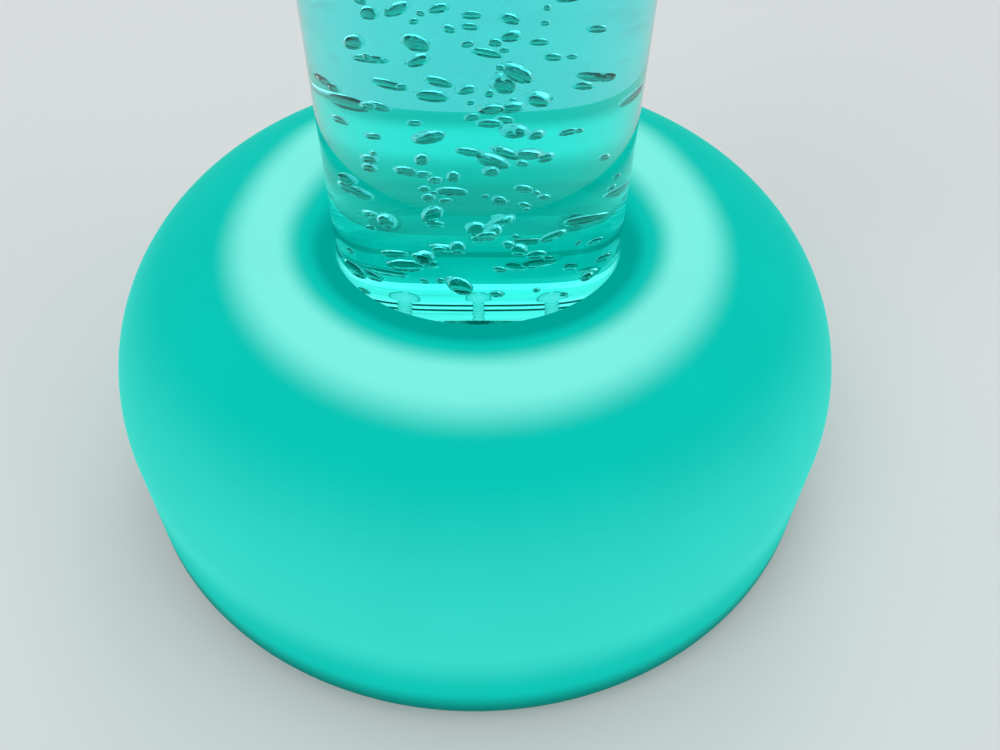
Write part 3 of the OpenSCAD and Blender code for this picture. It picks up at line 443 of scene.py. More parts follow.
def abs_in_lamp_light():
    """White ABS that stands in the lamp's own light inside the base: brightest near the
    plug, and dimmer towards the cup's rim."""
    material, tree, shader = new_material("white_abs_in_lamp_light",
                                          {"Emission Strength": 1.2})
    point = object_point(tree)
    noise = grain(tree, shader, point, *MOULD_GRAIN, (0.4, 0.5))
    two_tone(tree, shader, noise, "#0A5650", "#0C605A")
    place = share_between(tree, coordinate(tree, point, "Z"), CUP_Z / MM, CUP_TOP / MM)
    light = colour_ramp(tree, place, [(0.0, "#3FD3C6"), (0.5, "#12BFB1"), (1.0, "#04AA9C")])
    glow_with(tree, shader, light, share_between(tree, noise, 0.0, 1.0, 0.97, 1.03))
    return material


def in_lamp_light(name, dark, light, glow, strength, metallic=0.0):
    """A small part in the lamp's own light under the water, which washes over its colour."""
    material, tree, shader = new_material(name, {
        "Metallic": metallic, "Emission Color": linear(glow), "Emission Strength": strength})
    noise = grain(tree, shader, object_point(tree), 0.7, 0.012, (0.35, 0.5))
    two_tone(tree, shader, noise, dark, light)
    return material


def moulded_plastic(name, dark, light, rough):
    """Injection-moulded ABS, nylon or acetal: even colour with a fine eroded texture."""
    material, tree, shader = new_material(name, {"IOR": 1.5})
    noise = grain(tree, shader, object_point(tree), *MOULD_GRAIN, (rough - 0.05, rough + 0.05))
    two_tone(tree, shader, noise, dark, light)
    return material


def moulded_rubber(name, dark, light):
    """Moulded rubber: dark, dull, with a soft sheen."""
    material, tree, shader = new_material(name, {"IOR": 1.52})
    noise = grain(tree, shader, object_point(tree), 0.6, 0.02, (0.62, 0.78))
    two_tone(tree, shader, noise, dark, light)
    return material


def turned_metal(name, dark, light, rough):
    """Plain or plated metal with fine lines from rolling or turning."""
    material, tree, shader = new_material(name, {"Metallic": 1.0})
    lines = stretched(tree, object_point(tree), (1.0, 0.12, 1.0))
    noise = grain(tree, shader, lines, 0.5, 0.008, (rough - 0.06, rough + 0.08))
    two_tone(tree, shader, noise, dark, light)
    return material


def coil_winding():
    """Enamelled copper wire, wound in turns about 0.6 mm apart: fine ridges, with painted
    highlights on them and painted shade between the turns.
    """
    material, tree, shader = new_material("enamelled_copper_wire",
                                          {"Metallic": 0.85, "Roughness": 0.32})
    turn_mm = 0.6
    wave = add(tree, "ShaderNodeTexWave",
               {"Vector": object_point(tree), "Scale": 2 / turn_mm / TAU},
               wave_type="BANDS", bands_direction="Z").outputs["Fac"]
    relief(tree, shader, wave, 0.25)
    # Painted shade and highlight: darker copper between the turns, lighter on their ridges
    two_tone(tree, shader, wave, "#7A3A1C", "#B8672F", low=0.1, high=0.9)
    return material


def circuit_board(name, mask, trace):
    """Fibreglass board under solder mask, with faint tracks under the mask."""
    material, tree, shader = new_material(name, {"Roughness": 0.32})
    tracks = add(tree, "ShaderNodeTexBrick",
                 {"Vector": object_point(tree), "Color1": linear(mask), "Color2": linear(mask),
                  "Mortar": linear(trace), "Scale": 0.22, "Mortar Size": 0.03})
    tree.links.new(tracks.outputs["Color"], shader.inputs["Base Color"])
    return material


def lamp_window():
    """Silicone-filled window of a surface-mount lamp, alight."""
    material, tree, shader = new_material("lamp_window", {
        "Emission Color": linear("#8FFFF0"), "Emission Strength": 2.0})
    noise = grain(tree, shader, object_point(tree), 0.8, 0.01, (0.25, 0.35))
    two_tone(tree, shader, noise, "#D8F6F2", "#EAFFFC")
    return material


def clear_hose():
    """Extruded silicone hose: milky, soft-looking."""
    material, tree, shader = new_material("milky_silicone", {
        "Transmission Weight": 0.35, "IOR": SILICONE_IOR})
    noise = grain(tree, shader, object_point(tree), 2.5, 0.02, (0.28, 0.4))
    two_tone(tree, shader, noise, "#C4DEDA", "#DDEBE9")
    return material


# What makes each finish: a function and what it is given
MAKERS = {
    "glowing_shell": (glowing_polyethylene, "glowing_polyethylene", GLOW_STRENGTH),
    "glowing_inside": (glowing_polyethylene, "glowing_polyethylene_inside", INNER_STRENGTH),
    # The recess's finish glows less: painted shade in the controls' recess
    "glowing_recess_shade": (glowing_polyethylene, "glowing_polyethylene_recess_shade", RECESS_SHADE_STRENGTH),
    "clear_acrylic": (clear_acrylic, "clear_extruded_acrylic", "#F7FFFE", LAMP_MIRRORED,
                      55.0, 0.03, 0.012),
    "clear_plug": (clear_acrylic, "clear_cast_acrylic", "#F4FFFD", "#8CEBE0",
                   30.0, 0.02, 0.01),
    "water": (lit_water,),
    "plug_edge": (plug_edge,),
    "lit_silicone": (lit_silicone,),
    "bubble_skin": (bubble_skin,),
    "sealing_bead": (sealing_bead,),
    "wall_nylon": (nylon_through_wall,),
    "lit_abs": (abs_in_lamp_light,),
    "lit_steel": (in_lamp_light, "zinc_steel_in_lamp_light", "#3E7F7A", "#4C9089", "#079A8D",
                  0.8, 1.0),
    "lit_rubber": (in_lamp_light, "silicone_grip_in_lamp_light", "#0C5A53", "#0F655D",
                   "#08A294", 0.9),
    "lamp": (lamp_window,),
    "white_plastic": (moulded_plastic, "white_abs", "#B4BFBE", "#C0CAC9", 0.42),
    "black_plastic": (moulded_plastic, "black_nylon", "#16181A", "#1F2225", 0.45),
    "grey_plastic": (moulded_plastic, "grey_abs", "#353C42", "#424A50", 0.5),
    "hose_fitting": (moulded_plastic, "white_acetal", "#D5E6E3", "#E4F3F0", 0.3),
    "rubber": (moulded_rubber, "black_rubber", "#17181A", "#232527"),
    "clear_silicone": (clear_hose,),
    "white_board": (circuit_board, "white_solder_mask", "#E3EAE8", "#C9D4D1"),
    "green_board": (circuit_board, "green_solder_mask", "#12553A", "#1E7A52"),
    "steel": (turned_metal, "zinc_plated_steel", "#A9ADB0", "#C6CACC", 0.3),
    "core_steel": (turned_metal, "laminated_steel", "#6E7276", "#8A8E92", 0.4),
    "copper_coil": (coil_winding,),
    "brass_stand": (turned_metal, "turned_brass", "#B08D4E", "#CDAA66", 0.28),
}
FINISHES = {}


def finish_named(name):
    """A finish by its name, often that of a record slot, made once."""
    if name not in FINISHES:
        make, *details = MAKERS[name]
        FINISHES[name] = make(*details)
    return FINISHES[name]


# ---------- helpers for meshes ----------

ON_AXIS = 1e-7      # radius under which a lathe's point is one vertex


def lathe_faces(mesh, outline, segments, slots=None):
    """Turns a closed (radius, height) outline about Z, in metres. Slots give the material of
    the faces that follow each point."""
    rings = []
    for r, z in outline:
        if r < ON_AXIS:
            rings.append([mesh.verts.new((0, 0, z))])
        else:
            rings.append([mesh.verts.new((r * math.cos(TAU * i / segments),
                                          r * math.sin(TAU * i / segments), z))
                          for i in range(segments)])
    for k in range(len(rings)):
        a, b = rings[k], rings[(k + 1) % len(rings)]
        if len(a) == 1 and len(b) == 1:
            continue
        for i in range(segments):
            j = (i + 1) % segments
            corner = [a[i % len(a)], a[j % len(a)], b[j % len(b)], b[i % len(b)]]
            face = mesh.faces.new(list(dict.fromkeys(corner)))
            face.material_index = slots[k] if slots else 0


def place_object(name, data):
    """Puts new data in the scene, at the origin."""
    placed = bpy.data.objects.new(name, data)
    bpy.context.scene.collection.objects.link(placed)
    return placed


def shade(piece, sharp_deg):
    """Smooth faces with sharp edges where they bend more than an angle."""
    data = piece.data
    data.polygons.foreach_set("use_smooth", [True] * len(data.polygons))
    data.set_sharp_from_angle(angle=math.radians(sharp_deg))
    data.update()
    return piece


def make_piece(name, mesh, materials, sharp_deg=35.0):
    """A shaded object from a bmesh, at the origin, with its materials."""
    bmesh.ops.recalc_face_normals(mesh, faces=mesh.faces[:])
    data = bpy.data.meshes.new(name)
    mesh.to_mesh(data)
    mesh.free()
    for material in materials:
        data.materials.append(material)
    return shade(place_object(name, data), sharp_deg)


def evaluated_copy(piece, name):
    """Turns a piece with live modifiers into a plain mesh of its own."""
    depsgraph = bpy.context.evaluated_depsgraph_get()
    depsgraph.update()
    data = bpy.data.meshes.new_from_object(piece.evaluated_get(depsgraph))
    data.name = name
    bpy.data.objects.remove(piece, do_unlink=True)
    return place_object(name, data)


def cut_with(piece, tool, operation):
    """Runs one exact boolean on a piece and drops the tool."""
    name = piece.name
    step = piece.modifiers.new("cut", "BOOLEAN")
    step.operation = operation
    step.solver = "EXACT"
    step.material_mode = "TRANSFER"
    step.object = tool
    piece.name = name + "_raw"
    result = evaluated_copy(piece, name)
    bpy.data.objects.remove(tool, do_unlink=True)
    return result


def arc(cx, cz, rx, rz, start, stop, steps):
    """Points of an elliptical arc, angles in degrees."""
    out = []
    for i in range(steps + 1):
        a = math.radians(start + (stop - start) * i / steps)
        out.append((cx + rx * math.cos(a), cz + rz * math.sin(a)))
    return out


def wall_rows(low, high):
    """Heights of the rings along a tall wall."""
    return [low + (high - low) * i / WALL_RINGS for i in range(WALL_RINGS + 1)]


def join_body(piece, body, slot, *nodes):
    """Gives a finished piece its body and hides the CAD nodes that it stands for. The slot is
    not used.
    """
    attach(piece, body)
    if nodes:
        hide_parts(*nodes)


def dress(*nodes, finish=None):
    """Gives CAD nodes a finish, that of their own slot by default. Their meshes stay."""
    for name in nodes:
        for holder in NODES[name].material_slots:
            holder.material = finish_named(finish or SLOT_OF[name])


# ---------- base shell ----------

DOME_START = 88.0        # degrees up the dome, where the rounded lip takes over
LIP_DROP = 20 * MM       # height of the rounded lip
THROAT_DEEP = 29.5 * MM  # from the crown to the throat's lower end
FOOT_ROUND = 15 * MM     # rounded edge by the floor
SIDE_STEPS = 6
SHELL_SEGMENTS = 216
PLATE_HOLE = 27 * MM     # the shell's wide opening for the bottom plate, in from its outside
PLATE_GAP = 0.3 * MM
LEDGE = 44 * MM          # the ledge over the bottom plate, in from the shell's outside
PLATE_THICK = 6 * MM
RECESS_R = 15 * MM
RECESS_WALL = 4 * MM
RECESS_STEPS = 24        # of each round end
STRAIGHT_STEPS = 8       # of each straight side
CONTROL_Z = 44 * MM
CONTROL_X = 22 * MM


def shell_line(inset, lip_steps, dome_steps, edge_steps):
    """Outline of the shell from the throat over the crown to the foot."""
    s = sizes()
    throat_r = s.tube_radius + THROAT_GAP
    crown_r = throat_r + s.crown_out
    shoulder_r = s.base_radius - 2 * MM
    points = arc(crown_r, CROWN_Z - LIP_DROP, crown_r - throat_r - inset, LIP_DROP - inset,
                 180, 90, lip_steps)
    power = 2 / s.dome_fullness
    reach = shoulder_r - crown_r - inset
    rise = CROWN_Z - s.shoulder_height - inset
    for i in range(dome_steps + 1):
        a = math.radians(DOME_START * (1 - i / dome_steps))
        points.append((crown_r + reach * max(math.cos(a), 0) ** power,
                       s.shoulder_height + rise * max(math.sin(a), 0) ** power))
    foot = arc(s.base_radius - FOOT_ROUND, FOOT_Z + FOOT_ROUND, FOOT_ROUND - inset,
               FOOT_ROUND - inset, 0, -90, edge_steps)
    top, low = points[-1], foot[0]
    for i in range(1, SIDE_STEPS):
        t = i / SIDE_STEPS
        points.append((top[0] + (low[0] - top[0]) * t, top[1] + (low[1] - top[1]) * t))
    return points + foot


def pill(name, radius, y0, front_at, finish):
    """Round-ended prism along Y round the two controls; front_at gives its front's y at x."""
    mesh = bmesh.new()
    ring = []
    for side, start in ((1, -90), (-1, 90)):
        ring += [(side * CONTROL_X + x, z) for x, z in
                 arc(0, 0, radius, radius, start, start + 180, RECESS_STEPS)]
        ring += [(side * CONTROL_X * (1 - 2 * i / STRAIGHT_STEPS), side * radius)
                 for i in range(1, STRAIGHT_STEPS)]
    front = [mesh.verts.new((x, front_at(x), CONTROL_Z + z)) for x, z in ring]
    back = [mesh.verts.new((x, y0, CONTROL_Z + z)) for x, z in ring]
    caps = [mesh.faces.new(front), mesh.faces.new(list(reversed(back)))]
    for i in range(len(ring)):
        j = (i + 1) % len(ring)
        mesh.faces.new((front[i], back[i], back[j], front[j]))
    bmesh.ops.triangulate(mesh, faces=caps)
    return make_piece(name, mesh, [finish_named(finish)])


class LAMP_OT_base_shell(bpy.types.Operator):
    """Builds the glowing rotation-moulded base shell with its throat and controls' recess"""

    bl_idname = "lamp.base_shell"
    bl_label = "Base shell"

    def execute(self, context):
        s = sizes()
        throat_r = s.tube_radius + THROAT_GAP
        throat_z = CROWN_Z - THROAT_DEEP
        plate_r = s.base_radius - PLATE_HOLE + PLATE_GAP
        ledge_r = s.base_radius - LEDGE
        wall = s.shell_wall
        plate_top = FOOT_Z + PLATE_THICK
        outer = [(throat_r, throat_z)]
        outer += shell_line(0, lip_steps=20, dome_steps=56, edge_steps=12)
        ledge = [(plate_r, FOOT_Z), (plate_r, plate_top), (ledge_r, plate_top),
                 (ledge_r, plate_top + wall), (plate_r + wall, plate_top + wall),
                 (plate_r + wall, FOOT_Z + wall)]
        inner = shell_line(wall, lip_steps=10, dome_steps=28, edge_steps=6)[::-1]
        inner.append((throat_r + wall, throat_z))
        slots = [0] * (len(outer) - 1) + [1] * (len(ledge) + len(inner) + 1)
        mesh = bmesh.new()
        lathe_faces(mesh, outer + ledge + inner, SHELL_SEGMENTS, slots)
        finishes = [finish_named("glowing_shell"), finish_named("glowing_inside")]
        shell = make_piece("base_shell_skin", mesh, finishes)
        # The recess's double wall ends inside the skin, and its pocket opens through it
        side_r = s.base_radius - 1.2 * MM
        boss = pill("recess_boss", RECESS_R + RECESS_WALL, RECESS_Y - RECESS_WALL,
                    lambda x: math.sqrt(side_r ** 2 - x ** 2) - 1.5 * MM, "glowing_inside")
        shell = cut_with(shell, boss, "UNION")
        # The pocket's faces glow less: painted shade in the recess, over the dimming of its
        # double wall
        pocket = pill("recess_pocket", RECESS_R, RECESS_Y,
                      lambda x: s.base_radius + 5 * MM, "glowing_recess_shade")
        shell = cut_with(shell, pocket, "DIFFERENCE")
        shade(shell, 30)
        join_body(shell, "root", "glowing_shell", "base_shell")
        return {"FINISHED"}


# ---------- tube, water and bubbles ----------


class LAMP_OT_bubble_tube(bpy.types.Operator):
    """Builds the clear tube with its polished, slightly rounded ends"""

    bl_idname = "lamp.bubble_tube"
    bl_label = "Bubble tube"

    def execute(self, context):
        s = sizes()
        outer, inner = s.tube_radius, s.tube_radius - s.tube_wall
        soft = 0.6 * MM
        rows = wall_rows(TUBE_Z + 1.5 * soft, TUBE_TOP - 1.5 * soft)
        outline = (arc(outer - soft, TUBE_TOP - soft, soft, soft, 0, 90, 4)
                   + arc(inner + soft, TUBE_TOP - soft, soft, soft, 90, 180, 4)
                   + [(inner, z) for z in reversed(rows)]
                   + arc(inner + soft, TUBE_Z + soft, soft, soft, 180, 270, 4)
                   + arc(outer - soft, TUBE_Z + soft, soft, soft, 270, 360, 4)
                   + [(outer, z) for z in rows])
        mesh = bmesh.new()
        lathe_faces(mesh, outline, ROUND_SEGMENTS)
        tube = make_piece("bubble_tube_wall", mesh, [finish_named("clear_acrylic")], 50)
        join_body(tube, "root", "clear_acrylic", "bubble_tube")
        return {"FINISHED"}


# How far each bubble strays, by random numbers of its own
STRAY_TURN = 0.35        # radians to either side of its outlet's angle
STRAY_ROWS = 0.48        # rows up or down
STRAY_TILT = 0.32        # radians off level
INNERMOST = 0.18         # nearest to the axis, as a share of the outlets' ring
SPREAD_ROWS = 3.0        # rows over which they leave the outlets' ring
SMALLEST = 0.22          # size of the smallest, as a share of the largest
MANY_SMALL = 1.3         # power that makes small ones more frequent
SMALL_SHAPE = (1.0, 0.85, 0.7)
LARGE_SHAPE = (1.1, 0.72, 0.30)


def group_socket(group, name, kind, value=None, in_out="INPUT"):
    """A named socket of a node group, with its default."""
    socket = group.interface.new_socket(name=name, in_out=in_out,
                                        socket_type="NodeSocket" + kind)
    if value is not None:
        socket.default_value = value


def random_value(group, low, high, key, seed, salt, vector=False):
    """A random number, or vector, for each index, from its own seed."""
    own_seed = add(group, "ShaderNodeMath", {0: seed, 1: float(salt)}, operation="ADD")
    kind = "FLOAT_VECTOR" if vector else "FLOAT"
    node = add(group, "FunctionNodeRandomValue", data_type=kind)
    at = 0 if vector else 2
    node.inputs[at].default_value = low
    node.inputs[at + 1].default_value = high
    group.links.new(key, node.inputs["ID"])
    group.links.new(own_seed.outputs[0], node.inputs["Seed"])
    return node.outputs[0 if vector else 1]


def math_node(group, operation, a, b=0.0):
    """The result of one calculation."""
    return add(group, "ShaderNodeMath", {0: a, 1: b}, operation=operation).outputs[0]


def bubble_group():
    """Geometry Nodes: rows of air bubbles over the outlets, as voids in the water's mesh."""
    group = bpy.data.node_groups.new("rising_bubbles", "GeometryNodeTree")
    for name, kind, value in (
            ("Water", "Geometry", None), ("Columns", "Int", 16), ("Rows", "Int", 30),
            ("Outlet radius", "Float", 0.056), ("Start height", "Float", 0.105),
            ("Row pitch", "Float", 0.033), ("Bubble radius", "Float", 0.006),
            ("Seed", "Int", 1), ("Material", "Material", None)):
        group_socket(group, name, kind, value)
    group_socket(group, "Geometry", "Geometry", in_out="OUTPUT")
    inlet = add(group, "NodeGroupInput").outputs
    seed = inlet["Seed"]
    index = add(group, "GeometryNodeInputIndex").outputs[0]
    row = math_node(group, "FLOOR", math_node(group, "DIVIDE", index, inlet["Columns"]))
    column = math_node(group, "MODULO", index, inlet["Columns"])
    # Over the first rows the bubbles leave the outlets' ring towards the tube's middle
    start = math_node(group, "MULTIPLY", column,
                      math_node(group, "DIVIDE", TAU, inlet["Columns"]))
    angle = math_node(group, "ADD", start,
                      random_value(group, -STRAY_TURN, STRAY_TURN, index, seed, 1))
    inward = random_value(group, INNERMOST, 1.0, index, seed, 2)
    drift = math_node(group, "MINIMUM", math_node(group, "DIVIDE", row, SPREAD_ROWS), 1.0)
    spread = add(group, "ShaderNodeMix", {0: drift, 2: 1.0, 3: inward}, data_type="FLOAT")
    radius = math_node(group, "MULTIPLY", inlet["Outlet radius"], spread.outputs[0])
    lift = math_node(group, "ADD", row,
                     random_value(group, -STRAY_ROWS, STRAY_ROWS, index, seed, 3))
    height = math_node(group, "MULTIPLY_ADD", lift, inlet["Row pitch"])
    group.links.new(inlet["Start height"], height.node.inputs[2])
    place = add(group, "ShaderNodeCombineXYZ",
                {"X": math_node(group, "MULTIPLY", radius,
                                math_node(group, "COSINE", angle)),
                 "Y": math_node(group, "MULTIPLY", radius, math_node(group, "SINE", angle)),
                 "Z": height})
    count = math_node(group, "MULTIPLY", inlet["Columns"], inlet["Rows"])
    points = add(group, "GeometryNodePoints",
                 {"Count": count, "Position": place.outputs[0], "Radius": 0.001})
    # One bubble: a flattened ball whose faces look into the air
    ball = add(group, "GeometryNodeMeshIcoSphere", {"Radius": 1.0, "Subdivisions": 2})
    # Each point's height on the ball is kept as upness, which places the skin's painted light
    # and shade
    up = coordinate(group, add(group, "GeometryNodeInputPosition").outputs[0], "Z")
    marked = add(group, "GeometryNodeStoreNamedAttribute",
                 {"Geometry": ball.outputs[0], "Name": "upness",
                  "Value": math_node(group, "ADD", up, BALL_MARK)},
                 data_type="FLOAT", domain="POINT")
    void = add(group, "GeometryNodeFlipFaces", {0: marked.outputs[0]})
    smooth = add(group, "GeometryNodeSetShadeSmooth", {"Geometry": void.outputs[0]})
    tilt = random_value(group, (-STRAY_TILT, -STRAY_TILT, 0.0), (STRAY_TILT, STRAY_TILT, TAU),
                        index, seed, 4, True)
    share = random_value(group, 0.0, 1.0, index, seed, 5)
    grown = math_node(group, "MULTIPLY_ADD", math_node(group, "POWER", share, MANY_SMALL),
                      1 - SMALLEST)
    grown.node.inputs[2].default_value = SMALLEST
    size = math_node(group, "MULTIPLY", inlet["Bubble radius"], grown)
    shape = add(group, "ShaderNodeMix", {0: grown, 4: SMALL_SHAPE, 5: LARGE_SHAPE},
                data_type="VECTOR")
    scale = add(group, "ShaderNodeVectorMath", {0: shape.outputs[1], "Scale": size},
                operation="SCALE")
    bubbles = add(group, "GeometryNodeInstanceOnPoints",
                  {"Points": points.outputs[0], "Instance": smooth.outputs[0],
                   "Rotation": tilt, "Scale": scale.outputs[0]})
    joined = add(group, "GeometryNodeJoinGeometry")
    group.links.new(bubbles.outputs[0], joined.inputs[0])
    group.links.new(inlet["Water"], joined.inputs[0])
    real = add(group, "GeometryNodeRealizeInstances", {0: joined.outputs[0]})
    mark = add(group, "GeometryNodeInputNamedAttribute", {"Name": "upness"},
               data_type="FLOAT").outputs[0]
    painted = add(group, "GeometryNodeSetMaterial",
                  {"Geometry": real.outputs[0], "Material": inlet["Material"],
                   "Selection": math_node(group, "GREATER_THAN", mark, 0.5)})
    add(group, "NodeGroupOutput", {0: painted.outputs[0]})
    return group


class LAMP_OT_water(bpy.types.Operator):
    """Builds the water with its meniscus and the air bubbles that rise through it"""

    bl_idname = "lamp.water"
    bl_label = "Water and bubbles"

    def execute(self, context):
        s = sizes()
        # The water reaches a little into the tube's wall, so that light passes from one to
        # the other with no film of air between them
        overlap = 0.05 * MM
        wall_r = s.tube_radius - s.tube_wall + overlap
        reach, climb = 3.2 * MM, 2.2 * MM
        meniscus = [(wall_r - (1.0 - math.cos(a)) * reach,
                     WATER_TOP + climb * (1.0 - math.sin(a)) ** 1.5)
                    for a in (math.radians(15 * i) for i in range(7))]
        outline = ([(0.0, PLUG_TOP - overlap), (wall_r, PLUG_TOP - overlap)]
                   + [(wall_r, z) for z in wall_rows(PLUG_TOP, WATER_TOP)[1:]]
                   + meniscus + [(0.0, WATER_TOP)])
        mesh = bmesh.new()
        lathe_faces(mesh, outline, ROUND_SEGMENTS)
        water = make_piece("water_raw", mesh, [finish_named("water")], 40)
        step = water.modifiers.new("bubbles", "NODES")
        group = bubble_group()
        first = PLUG_TOP + 12 * MM
        last = WATER_TOP - 14 * MM
        values = {
            "Columns": s.bubble_columns,
            "Rows": int((last - first) / s.bubble_pitch),
            "Outlet radius": GALLERY_R,
            "Start height": first + s.bubble_pitch / 2,
            "Row pitch": s.bubble_pitch,
            "Bubble radius": s.bubble_radius,
            "Seed": s.bubble_seed,
            "Material": finish_named("bubble_skin"),
        }
        step.node_group = group
        for item in group.interface.items_tree:
            if item.in_out == "INPUT" and item.name in values:
                step[item.identifier] = values[item.name]
        water = evaluated_copy(water, "water_body")
        join_body(water, "root", "water", "water_column")
        return {"FINISHED"}


# ---------- foot of the tube ----------

GALLERY_HALF = 5 * MM
OUTLET_COUNT = 16
SEAL_HEIGHTS = (9 * MM, 4 * MM)      # sealing rings over the plug's underside
PLUG_GAP = 0.2 * MM                  # between the plug and the tube
BEAD = 2.8 * MM


class LAMP_OT_tube_plug(bpy.types.Operator):
    """Builds the clear plug with its air gallery and lit, grooved edge, and the sealant on it"""

    bl_idname = "lamp.tube_plug"
    bl_label = "Tube plug"

    def execute(self, context):
        s = sizes()
        edge = 1.4 * MM
        inner_r = s.tube_radius - s.tube_wall
        plug_r = inner_r - PLUG_GAP
        groove_r, groove_half = 2 * MM, 1.4 * MM
        outline = [(0.0, PLUG_TOP), (plug_r - edge, PLUG_TOP), (plug_r, PLUG_TOP - edge)]
        for height in SEAL_HEIGHTS:
            z = PLUG_Z + height
            outline += [(plug_r, z + groove_half), (plug_r - groove_r, z + groove_half),
                        (plug_r - groove_r, z - groove_half), (plug_r, z - groove_half)]
        outline += [(plug_r, PLUG_Z + edge), (plug_r - edge, PLUG_Z)]
        side = len(outline) - 2
        far, near = GALLERY_R + GALLERY_HALF, GALLERY_R - GALLERY_HALF
        outline += [(far, PLUG_Z), (far, PLUG_Z + GALLERY_DEEP),
                    (near, PLUG_Z + GALLERY_DEEP), (near, PLUG_Z), (0.0, PLUG_Z)]
        slots = [0] + [1] * side + [0] * (len(outline) - 1 - side)
        mesh = bmesh.new()
        lathe_faces(mesh, outline, ROUND_SEGMENTS, slots)
        plug = make_piece("tube_plug_body", mesh,
                          [finish_named("clear_plug"), finish_named("plug_edge")], 25)
        join_body(plug, "root", "clear_plug", "tube_plug")
        bead_r = inner_r - 0.05 * MM      # clear of the tube's wall
        hollow = arc(bead_r - BEAD, PLUG_TOP + BEAD, BEAD, BEAD, 0, -90, 6)
        mesh = bmesh.new()
        lathe_faces(mesh, [(bead_r, PLUG_TOP)] + hollow, 160)
        seal = make_piece("plug_sealant", mesh, [finish_named("sealing_bead")], 50)
        join_body(seal, "root", "clear_silicone")
        return {"FINISHED"}


class LAMP_OT_air_outlets(bpy.types.Operator):
    """Builds the ring of air outlets: an umbrella head and a ribbed stem in the plug"""

    bl_idname = "lamp.air_outlets"
    bl_label = "Air outlets"

    def execute(self, context):
        head_r, head_h = 4 * MM, 5 * MM
        bore = 0.8 * MM
        stem_r, rib = 1.9 * MM, 0.5 * MM
        stem_low = PLUG_Z + GALLERY_DEEP
        pitch = 2.6 * MM
        outline = [(bore, PLUG_TOP + head_h)]
        outline += arc(0, PLUG_TOP + 1 * MM, head_r, head_h - 1 * MM, 76, 0, 8)
        outline += [(head_r, PLUG_TOP + 0.2 * MM), (stem_r, PLUG_TOP + 0.1 * MM)]
        z = PLUG_TOP - pitch / 2
        while z > stem_low + pitch:
            outline += [(stem_r - rib, z), (stem_r, z - pitch * 0.3),
                        (stem_r, z - pitch * 0.6)]
            z -= pitch
        outline += [(stem_r - rib, stem_low), (bore, stem_low)]
        mesh = bmesh.new()
        for i in range(OUTLET_COUNT):
            # The first stands at the back
            turn = TAU / 4 + TAU * i / OUTLET_COUNT
            before = len(mesh.verts)
            lathe_faces(mesh, outline, 20)
            mesh.verts.ensure_lookup_table()
            at = Vector((GALLERY_R * math.cos(turn), GALLERY_R * math.sin(turn), 0.0))
            bmesh.ops.translate(mesh, verts=mesh.verts[before:], vec=at)
        outlets = make_piece("air_outlet_heads", mesh, [finish_named("lit_silicone")], 40)
        join_body(outlets, "root", "clear_silicone", "air_outlets")
        return {"FINISHED"}


class LAMP_OT_tube_foot(bpy.types.Operator):
    """Dresses what holds, seals and lights the tube's foot"""

    bl_idname = "lamp.tube_foot"
    bl_label = "Tube foot"

    def execute(self, context):
        dress("plug_seals", "air_inlet", "gallery_plate", "gallery_gasket",
              "gallery_screws", "uplight_board", "uplight_leds", "uplight_screws",
              "tube_cradle", "cradle_screws", "tube_pad")
        dress("tube_cup", "clamp_ring", finish="lit_abs")
        dress("clamp_screws", finish="lit_steel")
        dress("grip_ring", finish="lit_rubber")
        return {"FINISHED"}


# ---------- parts that keep their CAD shape ----------


class LAMP_OT_base_parts(bpy.types.Operator):
    """Dresses the bottom plate, its feet and screws, and the ring of lamps for the base"""

    bl_idname = "lamp.base_parts"
    bl_label = "Base parts"

    def execute(self, context):
        dress("bottom_plate", "rubber_feet", "plate_screws", "glow_board", "glow_leds")
        return {"FINISHED"}


class LAMP_OT_air_system(bpy.types.Operator):
    """Dresses the diaphragm pump, the check valve and the two hoses"""

    bl_idname = "lamp.air_system"
    bl_label = "Air system"

    def execute(self, context):
        dress("pump_base", "pump_cover", "pump_feet", "pump_core", "pump_coil",
              "pump_chamber", "pump_diaphragm", "pump_pivot", "pump_armature",
              "pump_screws", "pump_hose", "valve_body", "valve_cap", "valve_poppet",
              "valve_clip", "tube_hose")
        return {"FINISHED"}


class LAMP_OT_controls(bpy.types.Operator):
    """Dresses the power inlet, the push button and the control board"""

    bl_idname = "lamp.controls"
    bl_label = "Controls"

    def execute(self, context):
        dress("push_button", "control_board", "board_parts", "board_stands", "board_screws")
        dress("power_inlet", "button_body", finish="wall_nylon")
        dress("inlet_nut", "button_nut", finish="lit_steel")
        return {"FINISHED"}


class LAMP_OT_top_cap(bpy.types.Operator):
    """Dresses the top cap and its seal"""

    bl_idname = "lamp.top_cap"
    bl_label = "Top cap"

    def execute(self, context):
        dress("top_cap", "cap_seal")
        return {"FINISHED"}


# ---------- stage and camera ----------

FOCAL_PX = 850.5                 # focal length in pixels of the photograph's frame
PICTURE_W = 1000
SENSOR_MM = 36.0
CAMERA_AT = (0.0, -0.36062, 0.43336)
PITCH, YAW, ROLL = 0.8306, 0.0370, 0.0242     # radians: down, right, right side up
FLOOR_R = 14.0
PLAIN_LIGHT = 0.8                # of the world on the lamp; what is seen of it has 1
# Soft lights: name, place, what they look at, size in metres and watts
STUDIO_LIGHTS = [
    ("key", (-1.6, -1.5, 2.6), (0, 0, 0.2), 1.8, 20),
    ("fill", (2.0, -0.8, 1.8), (0, 0, 0.2), 1.6, 8),
    ("back", (0.4, 2.2, 2.2), (0, 0, 0.3), 1.6, 10),
]


